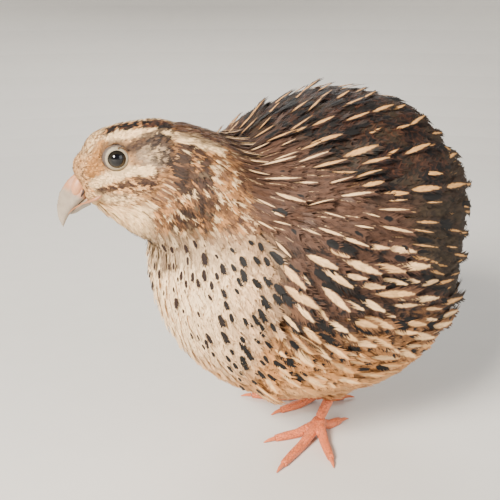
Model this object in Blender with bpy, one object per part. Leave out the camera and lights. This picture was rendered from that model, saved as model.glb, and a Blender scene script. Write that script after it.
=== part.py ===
"""A coturnix quail hen at rest on both feet, as a life-size still model.

The bird faces -X with its left side at -Y, and stands on Z = 0. The trunk is one rounded form given
by six radii, and everything that grows on it is placed by body_point: a share of the way from breast
to rump, an angle round from the top of the back, and a height above the skin. The head has a frame of
its own, turned a little to the bird's right. All sizes are in metres.
"""

import math
import random

import bmesh
import bpy
from mathutils import Matrix, Vector

GAP = 0.0003
SEED = 11

# The trunk, plumage included.
BODY_CENTRE = Vector((0.0030, 0.0, 0.0785))
BODY_FRONT = 0.0630
BODY_REAR = 0.0485
BODY_SIDE = 0.0480
BODY_UP = 0.0585
BODY_DOWN = 0.0580
BODY_PITCH = math.radians(-4.0)
BODY_POWER_FRONT = 2.05
BODY_POWER_REAR = 2.8
SHOULDER_DROP = 0.0150
BACK_LEAN = 0.0070
VENT_FULLNESS = 0.0080
BODY_RINGS = 20
BODY_SIDES = 32

# The head: the middle of the skull level with the eyes, and how far it is turned.
HEAD_CENTRE = Vector((-0.0710, 0.0034, 0.1198))
HEAD_TURN = math.radians(20.0)
HEAD_SIDES = 24
HEAD_CUT = -0.0120

EYE_RADIUS = 0.0036
EYE_FORWARD = 0.0
EYE_OUT = 0.0072
LID_RADIUS = 0.0035
LID_THICKNESS = 0.0007
BILL_WIDTH = 0.0098
MOUTH_GAP = 0.0005
BILL_FLATNESS = 0.42

# The wings, as shares along the trunk and angles round it.
WING_SEAT = 0.0006
WING_THICKNESS = 0.0022
VANE_THICKNESS = 0.0006
VANE_CAMBER = 0.0003
VANE_TILT = 0.0015

WING_BOW = math.radians(3.0)
VANE_SHARES = (0.0, 0.32, 0.66, 0.90, 1.0)
VANE_WIDTHS = (0.62, 0.98, 1.0, 0.62)

TIP_VARIATION = 0.006
WIDTH_VARIATION = 0.08

# Each tier from the lowest layer up: how many feathers, the row of roots and the row of tips from the
# lower to the upper end as (share along the trunk, degrees round it), width, and the heights over the
# trunk at root, middle and tip.
WING_TIERS = {
    "primary": {
        "count": 5,
        "roots": ((0.56, 108.0), (0.60, 80.0)),
        "tips": ((0.83, 94.0), (0.86, 60.0)),
        "width": 0.0100,
        "lifts": (0.0020, 0.0023, 0.0022),
    },
    "secondary": {
        "count": 6,
        "roots": ((0.44, 112.0), (0.50, 58.0)),
        "tips": ((0.74, 102.0), (0.79, 46.0)),
        "width": 0.0120,
        "lifts": (0.0021, 0.0036, 0.0032),
    },
    "greater": {
        "count": 6,
        "roots": ((0.34, 108.0), (0.36, 58.0)),
        "tips": ((0.60, 104.0), (0.64, 50.0)),
        "width": 0.0120,
        "lifts": (0.0020, 0.0042, 0.0042),
    },
    "median": {
        "count": 5,
        "roots": ((0.26, 98.0), (0.27, 66.0)),
        "tips": ((0.43, 104.0), (0.47, 54.0)),
        "width": 0.0110,
        "lifts": (0.0014, 0.0044, 0.0052),
    },
}

# The tail.
TAIL_ROOT = Vector((0.0400, 0.0, 0.0900))
TAIL_CORE_LENGTH = 0.0210
TAIL_SPREAD = 0.0080
TAIL_SIDES = 14
TAIL_CORE = ((0.0, 0.0120, 0.0040), (0.6, 0.0112, 0.0030), (1.0, 0.0085, 0.0012))
TAIL_STEP = 0.12
TAIL_ROOF = 0.0030
TAIL_FAN = math.radians(15.0)
# Each tier: how many feathers, length, height over the core's middle, width, and fall.
TAIL_TIERS = {
    "rectrix": (8, 0.0400, -0.0006, 0.0068, math.radians(13.0)),
    "covert": (6, 0.0320, 0.0014, 0.0076, math.radians(10.0)),
    "rump": (5, 0.0250, 0.0030, 0.0084, math.radians(7.0)),
}

# The legs.
FOOT_JOINTS = {"left": Vector((0.0044, -0.0085, 0.0045)), "right": Vector((0.0185, 0.0125, 0.0045))}
FOOT_TURNS = {"left": math.radians(28.0), "right": math.radians(-38.0)}
TOE_LENGTHS = {"inner": 0.0190, "middle": 0.0290, "outer": 0.0210, "hind": 0.0120}
TOE_SPREADS = {
    "inner": math.radians(-38.0),
    "middle": 0.0,
    "outer": math.radians(40.0),
    "hind": math.radians(160.0),
}
TOE_RADIUS = 0.0019
CLAW_LENGTH = 0.0046
CLAW_RADIUS = 0.0009
SHANK_RADIUS = 0.0021
SHANK_TOP = 0.0150

COLOURS = {
    "breast": (0.62, 0.48, 0.32),
    "back": (0.16, 0.09, 0.05),
    "wing": (0.30, 0.18, 0.10),
    "bill": (0.45, 0.38, 0.33),
    "eye": (0.02, 0.015, 0.01),
    "leg": (0.72, 0.33, 0.20),
    "claw": (0.36, 0.26, 0.20),
}


def clear_scene():
    for item in list(bpy.data.objects):
        bpy.data.objects.remove(item, do_unlink=True)


def new_collection(name):
    made = bpy.data.collections.new(name)
    bpy.context.scene.collection.children.link(made)
    return made


def material(name, roughness=0.7):
    made = bpy.data.materials.get(name)
    if made is None:
        made = bpy.data.materials.new(name)
        made.use_nodes = True
        shader = made.node_tree.nodes["Principled BSDF"]
        shader.inputs["Base Color"].default_value = (*COLOURS[name], 1.0)
        shader.inputs["Roughness"].default_value = roughness
        shader.inputs["Metallic"].default_value = 0.0
    return made


def mesh_object(name, bm, finish, collection, smooth=True):
    """Turns a bmesh into an object with its own material."""
    bmesh.ops.recalc_face_normals(bm, faces=bm.faces)
    mesh = bpy.data.meshes.new(name)
    bm.to_mesh(mesh)
    bm.free()
    if smooth:
        mesh.shade_smooth()
        mesh.set_sharp_from_angle(angle=math.radians(40.0))
    mesh.materials.append(material(finish))
    made = bpy.data.objects.new(name, mesh)
    collection.objects.link(made)
    return made


def signed_power(value, power):
    return math.copysign(abs(value) ** power, value)


def body_point(along, round_angle, lift=0.0, side=1.0):
    """A point over the trunk. along runs 0 to 1 from breast to rump, round_angle 0 on the back to pi
    under the belly, on the left for side 1 and on the right for side -1."""
    polar = math.pi * along
    unit = Vector(
        (
            -math.cos(polar),
            -side * math.sin(polar) * math.sin(round_angle),
            math.sin(polar) * math.cos(round_angle),
        )
    )
    radii = (
        BODY_FRONT if unit.x < 0 else BODY_REAR,
        BODY_SIDE,
        BODY_UP if unit.z > 0 else BODY_DOWN,
    )
    blend = (1.0 - math.cos(polar)) / 2.0
    power = BODY_POWER_FRONT + (BODY_POWER_REAR - BODY_POWER_FRONT) * blend
    reach = sum(abs(c) ** power for c in unit) ** (-1.0 / power)
    point = Vector([c * reach * r for c, r in zip(unit, radii)])
    normal = Vector([signed_power(c * reach, power - 1.0) / r for c, r in zip(unit, radii)])
    point += normal.normalized() * lift
    front = max(0.0, -point.x / BODY_FRONT)
    high = max(0.0, point.z / BODY_UP)
    point.z -= SHOULDER_DROP * front * high
    point.x += BACK_LEAN * high * high
    rear = max(0.0, point.x / BODY_REAR)
    low = max(0.0, -point.z / BODY_DOWN)
    point.x += VENT_FULLNESS * rear * low
    return BODY_CENTRE + Matrix.Rotation(-BODY_PITCH, 3, "Y") @ point


def head_point(forward, left, up):
    """A point in the head's frame: forward along the bill's heading, to the bird's left, and up."""
    turn = Matrix.Rotation(-HEAD_TURN, 3, "Z")
    return HEAD_CENTRE + turn @ Vector((-forward, -left, up))


def loft(bm, rings, start_pole=None, end_pole=None):
    """Joins closed rings of points, all of one length, and closes the ends with a pole or a face."""
    loops = [[bm.verts.new(p) for p in ring] for ring in rings]
    count = len(loops[0])
    for here, there in zip(loops, loops[1:]):
        for i in range(count):
            j = (i + 1) % count
            bm.faces.new((here[i], here[j], there[j], there[i]))
    for loop, pole in ((loops[0], start_pole), (loops[-1], end_pole)):
        if pole is None:
            bm.faces.new(loop)
            continue
        tip = bm.verts.new(pole)
        for i in range(count):
            bm.faces.new((loop[i], loop[(i + 1) % count], tip))


def apply_modifiers(target):
    """Bakes an object's modifiers into its mesh."""
    graph = bpy.context.evaluated_depsgraph_get()
    baked = bpy.data.meshes.new_from_object(target.evaluated_get(graph))
    target.modifiers.clear()
    target.data = baked


def keep_largest(target):
    """Keeps only the largest closed surface of a mesh, by the size of its box."""
    bm = bmesh.new()
    bm.from_mesh(target.data)
    waiting = set(bm.verts)
    groups = []
    while waiting:
        stack = [waiting.pop()]
        group = []
        while stack:
            vert = stack.pop()
            group.append(vert)
            for edge in vert.link_edges:
                other = edge.other_vert(vert)
                if other in waiting:
                    waiting.remove(other)
                    stack.append(other)
        groups.append(group)

    def box_size(group):
        spans = [max(v.co[i] for v in group) - min(v.co[i] for v in group) for i in range(3)]
        return sum(spans)

    groups.sort(key=box_size)
    for group in groups[:-1]:
        bmesh.ops.delete(bm, geom=group, context="VERTS")
    bm.to_mesh(target.data)
    bm.free()


def boolean(target, operation, cutter, solver="EXACT"):
    """Applies one Boolean with an object or a collection, and removes what was used."""
    modifier = target.modifiers.new("boolean", "BOOLEAN")
    modifier.operation = operation
    modifier.solver = solver
    if isinstance(cutter, bpy.types.Collection):
        modifier.operand_type = "COLLECTION"
        modifier.collection = cutter
        used = list(cutter.objects)
    else:
        modifier.object = cutter
        used = [cutter]
    apply_modifiers(target)
    for item in used:
        bpy.data.objects.remove(item, do_unlink=True)
    keep_largest(target)


def fuse(target, pieces):
    """Joins a collection of closed pieces to a node with one union."""
    boolean(target, "UNION", pieces, solver="MANIFOLD")


def body_solid(name, lift, finish, collection):
    """The trunk, or the same form grown by lift for cutting its neighbours."""
    bm = bmesh.new()
    rings = []
    for i in range(1, BODY_RINGS):
        along = i / BODY_RINGS
        rings.append(
            [body_point(along, 2.0 * math.pi * j / BODY_SIDES, lift) for j in range(BODY_SIDES)]
        )
    loft(bm, rings, body_point(0.0, 0.0, lift), body_point(1.0, 0.0, lift))
    return mesh_object(name, bm, finish, collection)


# Each head section: its top and bottom (forward, up) in the head's frame, and half its width.
HEAD_SECTIONS = (
    ((0.0126, -0.0052), (0.0088, -0.0180), 0.0052),
    ((0.0118, 0.0022), (0.0070, -0.0190), 0.0072),
    ((0.0082, 0.0076), (0.0042, -0.0215), 0.0090),
    ((0.0005, 0.0104), (-0.0005, -0.0256), 0.0104),
    ((-0.0090, 0.0115), (-0.0065, -0.0292), 0.0122),
    ((-0.0180, 0.0113), (-0.0140, -0.0320), 0.0155),
    ((-0.0270, 0.0086), (-0.0235, -0.0340), 0.0205),
    ((-0.0360, 0.0046), (-0.0340, -0.0345), 0.0250),
    ((-0.0460, -0.0020), (-0.0440, -0.0330), 0.0260),
)
NECK_BEND = 0.0080


def head_ring(top, bottom, half_width):
    """One section of head or neck, an ellipse standing between two points of the profile."""
    ring = []
    middle_u = (top[0] + bottom[0]) / 2.0
    back = max(0.0, -middle_u - 0.012)
    aside = -NECK_BEND * (back / 0.03) ** 1.5
    for i in range(HEAD_SIDES):
        angle = 2.0 * math.pi * i / HEAD_SIDES
        share = (1.0 - math.cos(angle)) / 2.0
        u = top[0] + (bottom[0] - top[0]) * share
        w = top[1] + (bottom[1] - top[1]) * share
        ring.append(head_point(u, half_width * math.sin(angle) + aside, w))
    return ring


def smooth_sections(sections, between):
    """Adds sections between the given ones along smooth curves through them."""
    flat = [(*top, *bottom, width) for top, bottom, width in sections]
    out = []
    last = len(flat) - 1
    for i in range(last):
        before = flat[max(i - 1, 0)]
        here = flat[i]
        there = flat[i + 1]
        after = flat[min(i + 2, last)]
        for step in range(between):
            t = step / between
            values = [
                0.5
                * (
                    2 * b
                    + (c - a) * t
                    + (2 * a - 5 * b + 4 * c - d) * t * t
                    + (3 * b - a - 3 * c + d) * t**3
                )
                for a, b, c, d in zip(before, here, there, after)
            ]
            out.append(values)
    out.append(flat[-1])
    return [((v[0], v[1]), (v[2], v[3]), v[4]) for v in out]


def head_and_neck(name, collection, finish):
    bm = bmesh.new()
    rings = [head_ring(*section) for section in smooth_sections(HEAD_SECTIONS, 2)]
    loft(bm, rings)
    return mesh_object(name, bm, finish, collection)


def cut_plane(target, origin, normal):
    """Cuts away what lies on the side that normal points to, and closes the cut."""
    bm = bmesh.new()
    bm.from_mesh(target.data)
    geometry = bm.verts[:] + bm.edges[:] + bm.faces[:]
    done = bmesh.ops.bisect_plane(
        bm, geom=geometry, plane_co=origin, plane_no=normal, clear_outer=True, dist=1e-7
    )
    edges = [e for e in done["geom_cut"] if isinstance(e, bmesh.types.BMEdge)]
    bmesh.ops.holes_fill(bm, edges=edges, sides=0)
    bmesh.ops.recalc_face_normals(bm, faces=bm.faces)
    bm.to_mesh(target.data)
    bm.free()


def ball(name, centre, radius, collection, segments=16, rings=10, scale=(1.0, 1.0, 1.0), turn=None):
    bm = bmesh.new()
    bmesh.ops.create_uvsphere(bm, u_segments=segments, v_segments=rings, radius=radius)
    bmesh.ops.scale(bm, vec=scale, verts=bm.verts)
    if turn is not None:
        bmesh.ops.rotate(bm, matrix=turn, verts=bm.verts)
    bmesh.ops.translate(bm, vec=centre, verts=bm.verts)
    return mesh_object(name, bm, "eye", collection)


def eye_centre(side):
    return head_point(EYE_FORWARD, side * EYE_OUT, 0.0)


def eye_turn(side):
    """Turns +Z to the way an eye looks: sideways and a little forward."""
    looks = (head_point(0.18, side, 0.02) - HEAD_CENTRE).normalized()
    return looks.to_track_quat("Z", "Y").to_matrix()


def lid(name, side, collection):
    """A ring of bare skin round the eye."""
    bm = bmesh.new()
    around, across = 16, 6
    rings = []
    for i in range(around):
        angle = 2.0 * math.pi * i / around
        middle = Vector((math.cos(angle), math.sin(angle), 0.0)) * LID_RADIUS
        outwards = middle.normalized()
        ring = []
        for j in range(across):
            turn = 2.0 * math.pi * j / across
            ring.append(
                middle
                + outwards * math.cos(turn) * LID_THICKNESS
                + Vector((0.0, 0.0, math.sin(turn) * LID_THICKNESS))
            )
        rings.append([bm.verts.new(p) for p in ring])
    for i in range(around):
        here, there = rings[i], rings[(i + 1) % around]
        for j in range(across):
            k = (j + 1) % across
            bm.faces.new((here[j], here[k], there[k], there[j]))
    bmesh.ops.translate(bm, vec=Vector((0.0, 0.0, 0.0020)), verts=bm.verts)
    bmesh.ops.rotate(bm, matrix=eye_turn(side), verts=bm.verts)
    bmesh.ops.translate(bm, vec=eye_centre(side), verts=bm.verts)
    return mesh_object(name, bm, "breast", collection)


def make_head(parts, cutters):
    """The head and neck as one form, parted by a thin cut, the neck cut clear of the trunk."""
    head = head_and_neck("head", parts, "breast")
    neck = head_and_neck("neck", parts, "breast")
    backwards = (head_point(-1.0, 0.0, 0.0) - head_point(0.0, 0.0, 0.0)).normalized()
    cut_plane(head, head_point(HEAD_CUT, 0.0, 0.0), backwards)
    cut_plane(neck, head_point(HEAD_CUT - GAP, 0.0, 0.0), -backwards)
    boolean(neck, "DIFFERENCE", body_solid("neck_cutter", GAP, "breast", cutters))
    boolean(head, "DIFFERENCE", body_solid("head_cutter", GAP, "breast", cutters))
    lids = new_collection("lids")
    for side in (1, -1):
        lid(f"lid_{side}", side, lids)
    fuse(head, lids)
    for side, name in ((1, "left"), (-1, "right")):
        socket = ball(f"socket_{name}", eye_centre(side), EYE_RADIUS + GAP, cutters)
        boolean(head, "DIFFERENCE", socket)
        ball(f"eye_{name}", eye_centre(side), EYE_RADIUS, parts)
    cut_mouth(head, cutters)
    return head


# The bill in profile: the top and bottom of each section (forward, up), and half its width.
UPPER_BILL = (
    ((0.0129, -0.0053), (0.0103, -0.0138), 0.0049),
    ((0.0165, -0.0084), (0.0128, -0.0160), 0.0040),
    ((0.0192, -0.0124), (0.0150, -0.0182), 0.0030),
    ((0.0203, -0.0170), (0.0168, -0.0201), 0.0020),
    ((0.0200, -0.0208), (0.0178, -0.0219), 0.0011),
)
UPPER_TIP = (0.0187, -0.0240)
LOWER_BILL = (
    ((0.0102, -0.0143), (0.0092, -0.0180), 0.0044),
    ((0.0124, -0.0164), (0.0118, -0.0192), 0.0032),
    ((0.0146, -0.0186), (0.0142, -0.0206), 0.0020),
)
LOWER_TIP = (0.0164, -0.0212)
GAPE = (0.0047, -0.0112)


def bill_piece(name, sections, tip, flat_below, parts):
    """One half of the bill, flat on the side where the halves meet."""
    bm = bmesh.new()
    sides = 12
    rings = []
    for top, bottom, half_width in sections:
        ring = []
        for i in range(sides):
            angle = 2.0 * math.pi * i / sides
            share = (1.0 - math.cos(angle)) / 2.0
            share = share**BILL_FLATNESS if flat_below else 1.0 - (1.0 - share) ** BILL_FLATNESS
            u = top[0] + (bottom[0] - top[0]) * share
            w = top[1] + (bottom[1] - top[1]) * share
            ring.append(head_point(u, half_width * math.sin(angle), w))
        rings.append(ring)
    loft(bm, rings, None, head_point(tip[0], 0.0, tip[1]))
    return mesh_object(name, bm, "bill", parts)


def cut_mouth(head, cutters):
    """The line of the mouth: a slot from the bill's base back to the gape."""
    start = Vector((0.0150, -0.0168))
    end = Vector(GAPE)
    along = (start - end).normalized()
    across = Vector((-along.y, along.x)) * (MOUTH_GAP / 2.0)
    bm = bmesh.new()
    rings = []
    for left in (-BILL_WIDTH * 1.4, BILL_WIDTH * 1.4):
        corners = (start + across, start - across, end - across, end + across)
        rings.append([head_point(c.x, left, c.y) for c in corners])
    loft(bm, rings)
    boolean(head, "DIFFERENCE", mesh_object("mouth_cutter", bm, "breast", cutters))


def make_bill(parts, cutters):
    upper = bill_piece("bill_upper", UPPER_BILL, UPPER_TIP, True, parts)
    bill_piece("bill_lower", LOWER_BILL, LOWER_TIP, False, parts)
    for side in (1, -1):
        nostril = ball(
            f"nostril_{side}",
            head_point(0.0135, side * 0.0046, -0.0104),
            0.0014,
            cutters,
            segments=10,
            rings=6,
            scale=(1.3, 0.5, 0.35),
            turn=Matrix.Rotation(-HEAD_TURN, 3, "Z") @ Matrix.Rotation(math.radians(-35.0), 3, "Y"),
        )
        boolean(upper, "DIFFERENCE", nostril)


def wing_spine(root, tip, side, lifts):
    """The middle line of a feather over the trunk, as points with their normal and crosswise way.
    root and tip are (along, angle), and lifts the heights at root, middle and tip."""
    spine = []
    for share in VANE_SHARES:
        along = root[0] + (tip[0] - root[0]) * share
        angle = root[1] + (tip[1] - root[1]) * share + WING_BOW * math.sin(math.pi * share)
        if share < 0.5:
            lift = lifts[0] + (lifts[1] - lifts[0]) * share * 2.0
        else:
            lift = lifts[1] + (lifts[2] - lifts[1]) * (share * 2.0 - 1.0)
        point = body_point(along, angle, lift, side)
        ahead_along = along + (tip[0] - root[0]) * 0.01
        ahead_angle = angle + (tip[1] - root[1]) * 0.01
        ahead = body_point(ahead_along, ahead_angle, lift, side)
        normal = (body_point(along, angle, lift + 0.001, side) - point).normalized()
        across = (ahead - point).normalized().cross(normal) * side
        spine.append((point, normal, across))
    return spine


def vane(name, spine, width, tilt, finish, collection):
    """A flat tapered feather along a spine, tilt raising the edge that the crosswise way points to."""
    bm = bmesh.new()
    loops = []
    for (point, normal, across), share in zip(spine, VANE_WIDTHS):
        half = width / 2.0 * share
        loop = []
        for offset, height in ((-1, 1), (0, 1), (1, 1), (1, -1), (0, -1), (-1, -1)):
            rise = tilt / 2.0 * offset + VANE_THICKNESS / 2.0 * height
            rise += VANE_CAMBER if offset == 0 else 0.0
            loop.append(bm.verts.new(point + across * half * offset + normal * rise))
        loops.append(loop)
    end = bm.verts.new(spine[-1][0])
    split_alike(bm, loops)
    bm.faces.new((loops[0][0], loops[0][1], loops[0][4], loops[0][5]))
    bm.faces.new((loops[0][1], loops[0][2], loops[0][3], loops[0][4]))
    for i in range(6):
        bm.faces.new((loops[-1][i], loops[-1][(i + 1) % 6], end))
    return mesh_object(name, bm, finish, collection)


def split_alike(bm, loops):
    """Skins six-point rings, with the same diagonal above and below."""
    for here, there in zip(loops, loops[1:]):
        for i in range(6):
            j = (i + 1) % 6
            if i in (3, 4):
                bm.faces.new((here[i], here[j], there[i]))
                bm.faces.new((here[j], there[j], there[i]))
            else:
                bm.faces.new((here[i], here[j], there[j]))
                bm.faces.new((here[i], there[j], there[i]))


def patch(name, along_range, angles_at, side, outer, finish, parts):
    """A closed plate over the trunk, from a seat just off it to an outer height."""
    rows, columns = 10, 6
    bm = bmesh.new()
    layers = []
    for layer in (0, 1):
        grid = []
        for i in range(rows + 1):
            s = i / rows
            along = along_range[0] + (along_range[1] - along_range[0]) * s
            low, high = angles_at(s)
            row = []
            for j in range(columns + 1):
                r = j / columns
                lift = WING_SEAT
                if layer:
                    lift += 0.0008 + outer * math.sin(math.pi * s) ** 0.6 * math.sin(math.pi * r) ** 0.6
                row.append(bm.verts.new(body_point(along, low + (high - low) * r, lift, side)))
            grid.append(row)
        layers.append(grid)
    for grid in layers:
        for i in range(rows):
            for j in range(columns):
                bm.faces.new((grid[i][j], grid[i + 1][j], grid[i + 1][j + 1], grid[i][j + 1]))
    under, over = layers
    rim = [(i, 0) for i in range(rows)] + [(rows, j) for j in range(columns)]
    rim += [(i, columns) for i in range(rows, 0, -1)] + [(0, j) for j in range(columns, 0, -1)]
    for (a, b), (c, d) in zip(rim, rim[1:] + rim[:1]):
        bm.faces.new((under[a][b], under[c][d], over[c][d], over[a][b]))
    return mesh_object(name, bm, finish, parts)


def wing_edges(share):
    """The angles of a folded wing's upper and lower edges, from shoulder to tip."""
    swell = math.sin(math.pi * share) ** 0.7
    middle = math.radians(82.0 - 14.0 * share)
    half = math.radians(6.0 + 24.0 * swell)
    return middle - half, middle + half


def make_wing(name, side, parts):
    """A folded wing: a thin core on the flank, and its feathers in overlapping tiers."""
    wing = patch(name, (0.25, 0.80), wing_edges, side, WING_THICKNESS, "wing", parts)
    feathers = new_collection(f"{name}_feathers")
    for tier, sizes in WING_TIERS.items():
        for k in range(sizes["count"]):
            share = k / (sizes["count"] - 1)
            root = row_place(sizes["roots"], share)
            along, angle = row_place(sizes["tips"], share)
            tip = (along + random.uniform(-TIP_VARIATION, TIP_VARIATION), angle)
            spine = wing_spine(root, tip, side, sizes["lifts"])
            width = sizes["width"] * random.uniform(1.0 - WIDTH_VARIATION, 1.0 + WIDTH_VARIATION)
            vane(f"{name}_{tier}_{k}", spine, width, VANE_TILT, "wing", feathers)
    fuse(wing, feathers)


def row_place(row, share):
    """A place along a row given by its two ends, each (along, degrees)."""
    (along_a, angle_a), (along_b, angle_b) = row
    along = along_a + (along_b - along_a) * share
    return along, math.radians(angle_a + (angle_b - angle_a) * share)


def tail_spine(fan, length, height, pitch):
    """The middle line of a tail feather that leaves the tail's core at an angle to the side."""
    root = TAIL_ROOT + Vector((0.0, -TAIL_SPREAD * math.sin(fan) / math.sin(TAIL_FAN), height))
    spine = []
    for share in VANE_SHARES:
        slope = pitch + math.radians(14.0) * share
        forward = Vector((math.cos(fan), -math.sin(fan), -math.tan(slope))).normalized()
        roll = Matrix.Rotation(-fan * 0.9, 3, "X")
        normal = (roll @ Vector((math.sin(slope), 0.0, math.cos(slope)))).normalized()
        across = forward.cross(normal).normalized()
        spine.append((root + forward * length * share, normal, across))
    return spine


def make_tail(parts, cutters):
    """The rump's end with a short fan of tail feathers under two tiers of coverts."""
    bm = bmesh.new()
    rings = []
    for share, wide, high in TAIL_CORE:
        centre = TAIL_ROOT + Vector((TAIL_CORE_LENGTH * share, 0.0, -0.0045 * share))
        ring = []
        for i in range(TAIL_SIDES):
            angle = 2.0 * math.pi * i / TAIL_SIDES
            ring.append(centre + Vector((0.0, wide * math.cos(angle), high * math.sin(angle))))
        rings.append(ring)
    loft(bm, rings)
    tail = mesh_object("tail", bm, "back", parts)
    feathers = new_collection("tail_feathers")
    for tier, (count, length, height, width, pitch) in TAIL_TIERS.items():
        for k in range(count):
            fan = TAIL_FAN * (2.0 * k / (count - 1) - 1.0)
            outwards = abs(fan) / TAIL_FAN
            reach = length * (1.0 - TAIL_STEP * outwards)
            spine = tail_spine(fan, reach, height - TAIL_ROOF * outwards * outwards, pitch)
            tilt = math.copysign(0.0010, -fan) if fan else 0.0
            vane(f"tail_{tier}_{k}", spine, width, tilt, "back", feathers)
    fuse(tail, feathers)
    boolean(tail, "DIFFERENCE", body_solid("tail_cutter", GAP, "back", cutters))


def toe_path(joint, heading, length):
    """Points of a toe from the joint to its claw, arched a little and resting on the floor."""
    forward = Vector((-math.cos(heading), -math.sin(heading), 0.0))
    heights = (joint.z, 0.0030, TOE_RADIUS * 0.85, TOE_RADIUS * 0.80, TOE_RADIUS * 0.72)
    points = []
    for i, height in enumerate(heights):
        place = joint + forward * length * i / (len(heights) - 1)
        points.append(Vector((place.x, place.y, height)))
    return points, forward


def tube(name, points, radii, finish, collection, sides=8):
    """A round tapered limb along a path, closed at both ends."""
    bm = bmesh.new()
    rings = []
    for i, (point, radius) in enumerate(zip(points, radii)):
        before = points[max(i - 1, 0)]
        after = points[min(i + 1, len(points) - 1)]
        turn = (after - before).normalized().to_track_quat("Z", "X").to_matrix()
        ring = []
        for j in range(sides):
            angle = 2.0 * math.pi * j / sides
            ring.append(point + turn @ Vector((math.cos(angle), math.sin(angle), 0.0)) * radius)
        rings.append(ring)
    loft(bm, rings)
    return mesh_object(name, bm, finish, collection)


def make_leg(side_name, parts, cutters):
    joint = FOOT_JOINTS[side_name]
    side = 1.0 if side_name == "left" else -1.0
    foot = ball(f"foot_{side_name}", joint, 0.0031, parts, segments=12, rings=8)
    foot.data.materials.clear()
    foot.data.materials.append(material("leg"))
    toes = new_collection(f"toes_{side_name}")
    for toe, length in TOE_LENGTHS.items():
        heading = FOOT_TURNS[side_name] + side * TOE_SPREADS[toe]
        points, forward = toe_path(joint, heading, length)
        radii = [TOE_RADIUS * k for k in (1.15, 1.1, 1.0, 0.95, 0.75)]
        tube(f"toe_{toe}", points, radii, "leg", toes)
        start = points[-1] + forward * GAP
        drops = (0.0, 0.0002, 0.0009)
        claw = [start + forward * CLAW_LENGTH * k / 2.0 - Vector((0, 0, d)) for k, d in enumerate(drops)]
        shares = (1.0, 0.75, 0.2)
        tube(
            f"claw_{side_name}_{toe}", claw, [CLAW_RADIUS * k for k in shares], "claw", parts, sides=6
        )
    fuse(foot, toes)
    cut_plane(foot, Vector((0.0, 0.0, 0.0)), Vector((0.0, 0.0, -1.0)))
    top = joint + Vector((0.0040, -0.0010 * side, SHANK_TOP - joint.z))
    cut_plane(foot, Vector((0.0, 0.0, joint.z + 0.0022)), Vector((0.0, 0.0, 1.0)))
    base = Vector((joint.x + 0.0006, joint.y, joint.z + 0.0022 + GAP))
    shank = tube(f"shank_{side_name}", [base, (base + top) / 2.0, top], [SHANK_RADIUS] * 3, "leg", parts)
    cut_plane(shank, Vector((0.0, 0.0, base.z)), Vector((0.0, 0.0, -1.0)))
    cut_plane(shank, Vector((0.0, 0.0, SHANK_TOP)), Vector((0.0, 0.0, 1.0)))
    thigh_points = [top + Vector((0.0, 0.0, z)) for z in (GAP, 0.004, 0.010, 0.020)]
    thigh = tube(
        f"thigh_{side_name}", thigh_points, (0.0045, 0.0075, 0.0100, 0.0110), "breast", parts, sides=14
    )
    boolean(thigh, "DIFFERENCE", body_solid(f"thigh_cutter_{side_name}", GAP, "breast", cutters))
    cut_plane(thigh, Vector((0.0, 0.0, SHANK_TOP + GAP)), Vector((0.0, 0.0, -1.0)))


def centre_on_floor(parts):
    """Moves every node alike, so that the middle of the bird's box stands over the origin."""
    places = [v.co for item in parts.objects for v in item.data.vertices]
    middle = [(min(p[i] for p in places) + max(p[i] for p in places)) / 2.0 for i in (0, 1)]
    move = Matrix.Translation((-middle[0], -middle[1], 0.0))
    for mesh in {item.data for item in parts.objects}:
        mesh.transform(move)


def main():
    random.seed(SEED)
    clear_scene()
    parts = new_collection("coturnix_quail")
    cutters = new_collection("cutters")
    body_solid("torso", 0.0, "breast", parts)
    make_head(parts, cutters)
    make_bill(parts, cutters)
    for name, side in (("wing_left", 1.0), ("wing_right", -1.0)):
        make_wing(name, side, parts)
    make_tail(parts, cutters)
    for side_name in ("left", "right"):
        make_leg(side_name, parts, cutters)
    centre_on_floor(parts)


main()
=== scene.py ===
"""A still, life-size coturnix quail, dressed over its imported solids.

One skin stands for the torso, neck, head and thighs. Body feathers are joined meshes of small
closed vanes and tufts that follow the lie of the plumage. Wings and tail are built feather by
feather. Skin and feathers take their markings from the same functions of place.
"""

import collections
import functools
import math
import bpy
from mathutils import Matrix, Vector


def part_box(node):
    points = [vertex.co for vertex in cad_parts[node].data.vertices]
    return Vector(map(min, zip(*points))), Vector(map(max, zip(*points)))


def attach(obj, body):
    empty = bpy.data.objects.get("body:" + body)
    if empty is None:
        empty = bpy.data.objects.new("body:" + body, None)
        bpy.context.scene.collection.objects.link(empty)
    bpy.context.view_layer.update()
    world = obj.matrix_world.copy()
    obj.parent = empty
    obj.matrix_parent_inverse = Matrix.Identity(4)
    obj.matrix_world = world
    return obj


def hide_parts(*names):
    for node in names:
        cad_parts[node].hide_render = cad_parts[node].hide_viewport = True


bl_info = {
    "name": "Coturnix Quail",
    "version": (1, 0, 0),
    "blender": (4, 5, 0),
    "location": "View3D > Sidebar > Quail",
    "description": "Builds a still model of a coturnix quail over its packed solids",
    "category": "Add Mesh",
}

import types

import bmesh
import bpy
import numpy as np
from bpy.props import FloatProperty, FloatVectorProperty, IntProperty, PointerProperty
from mathutils import Matrix, Vector
from mathutils.bvhtree import BVHTree
from mathutils.kdtree import KDTree

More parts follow.
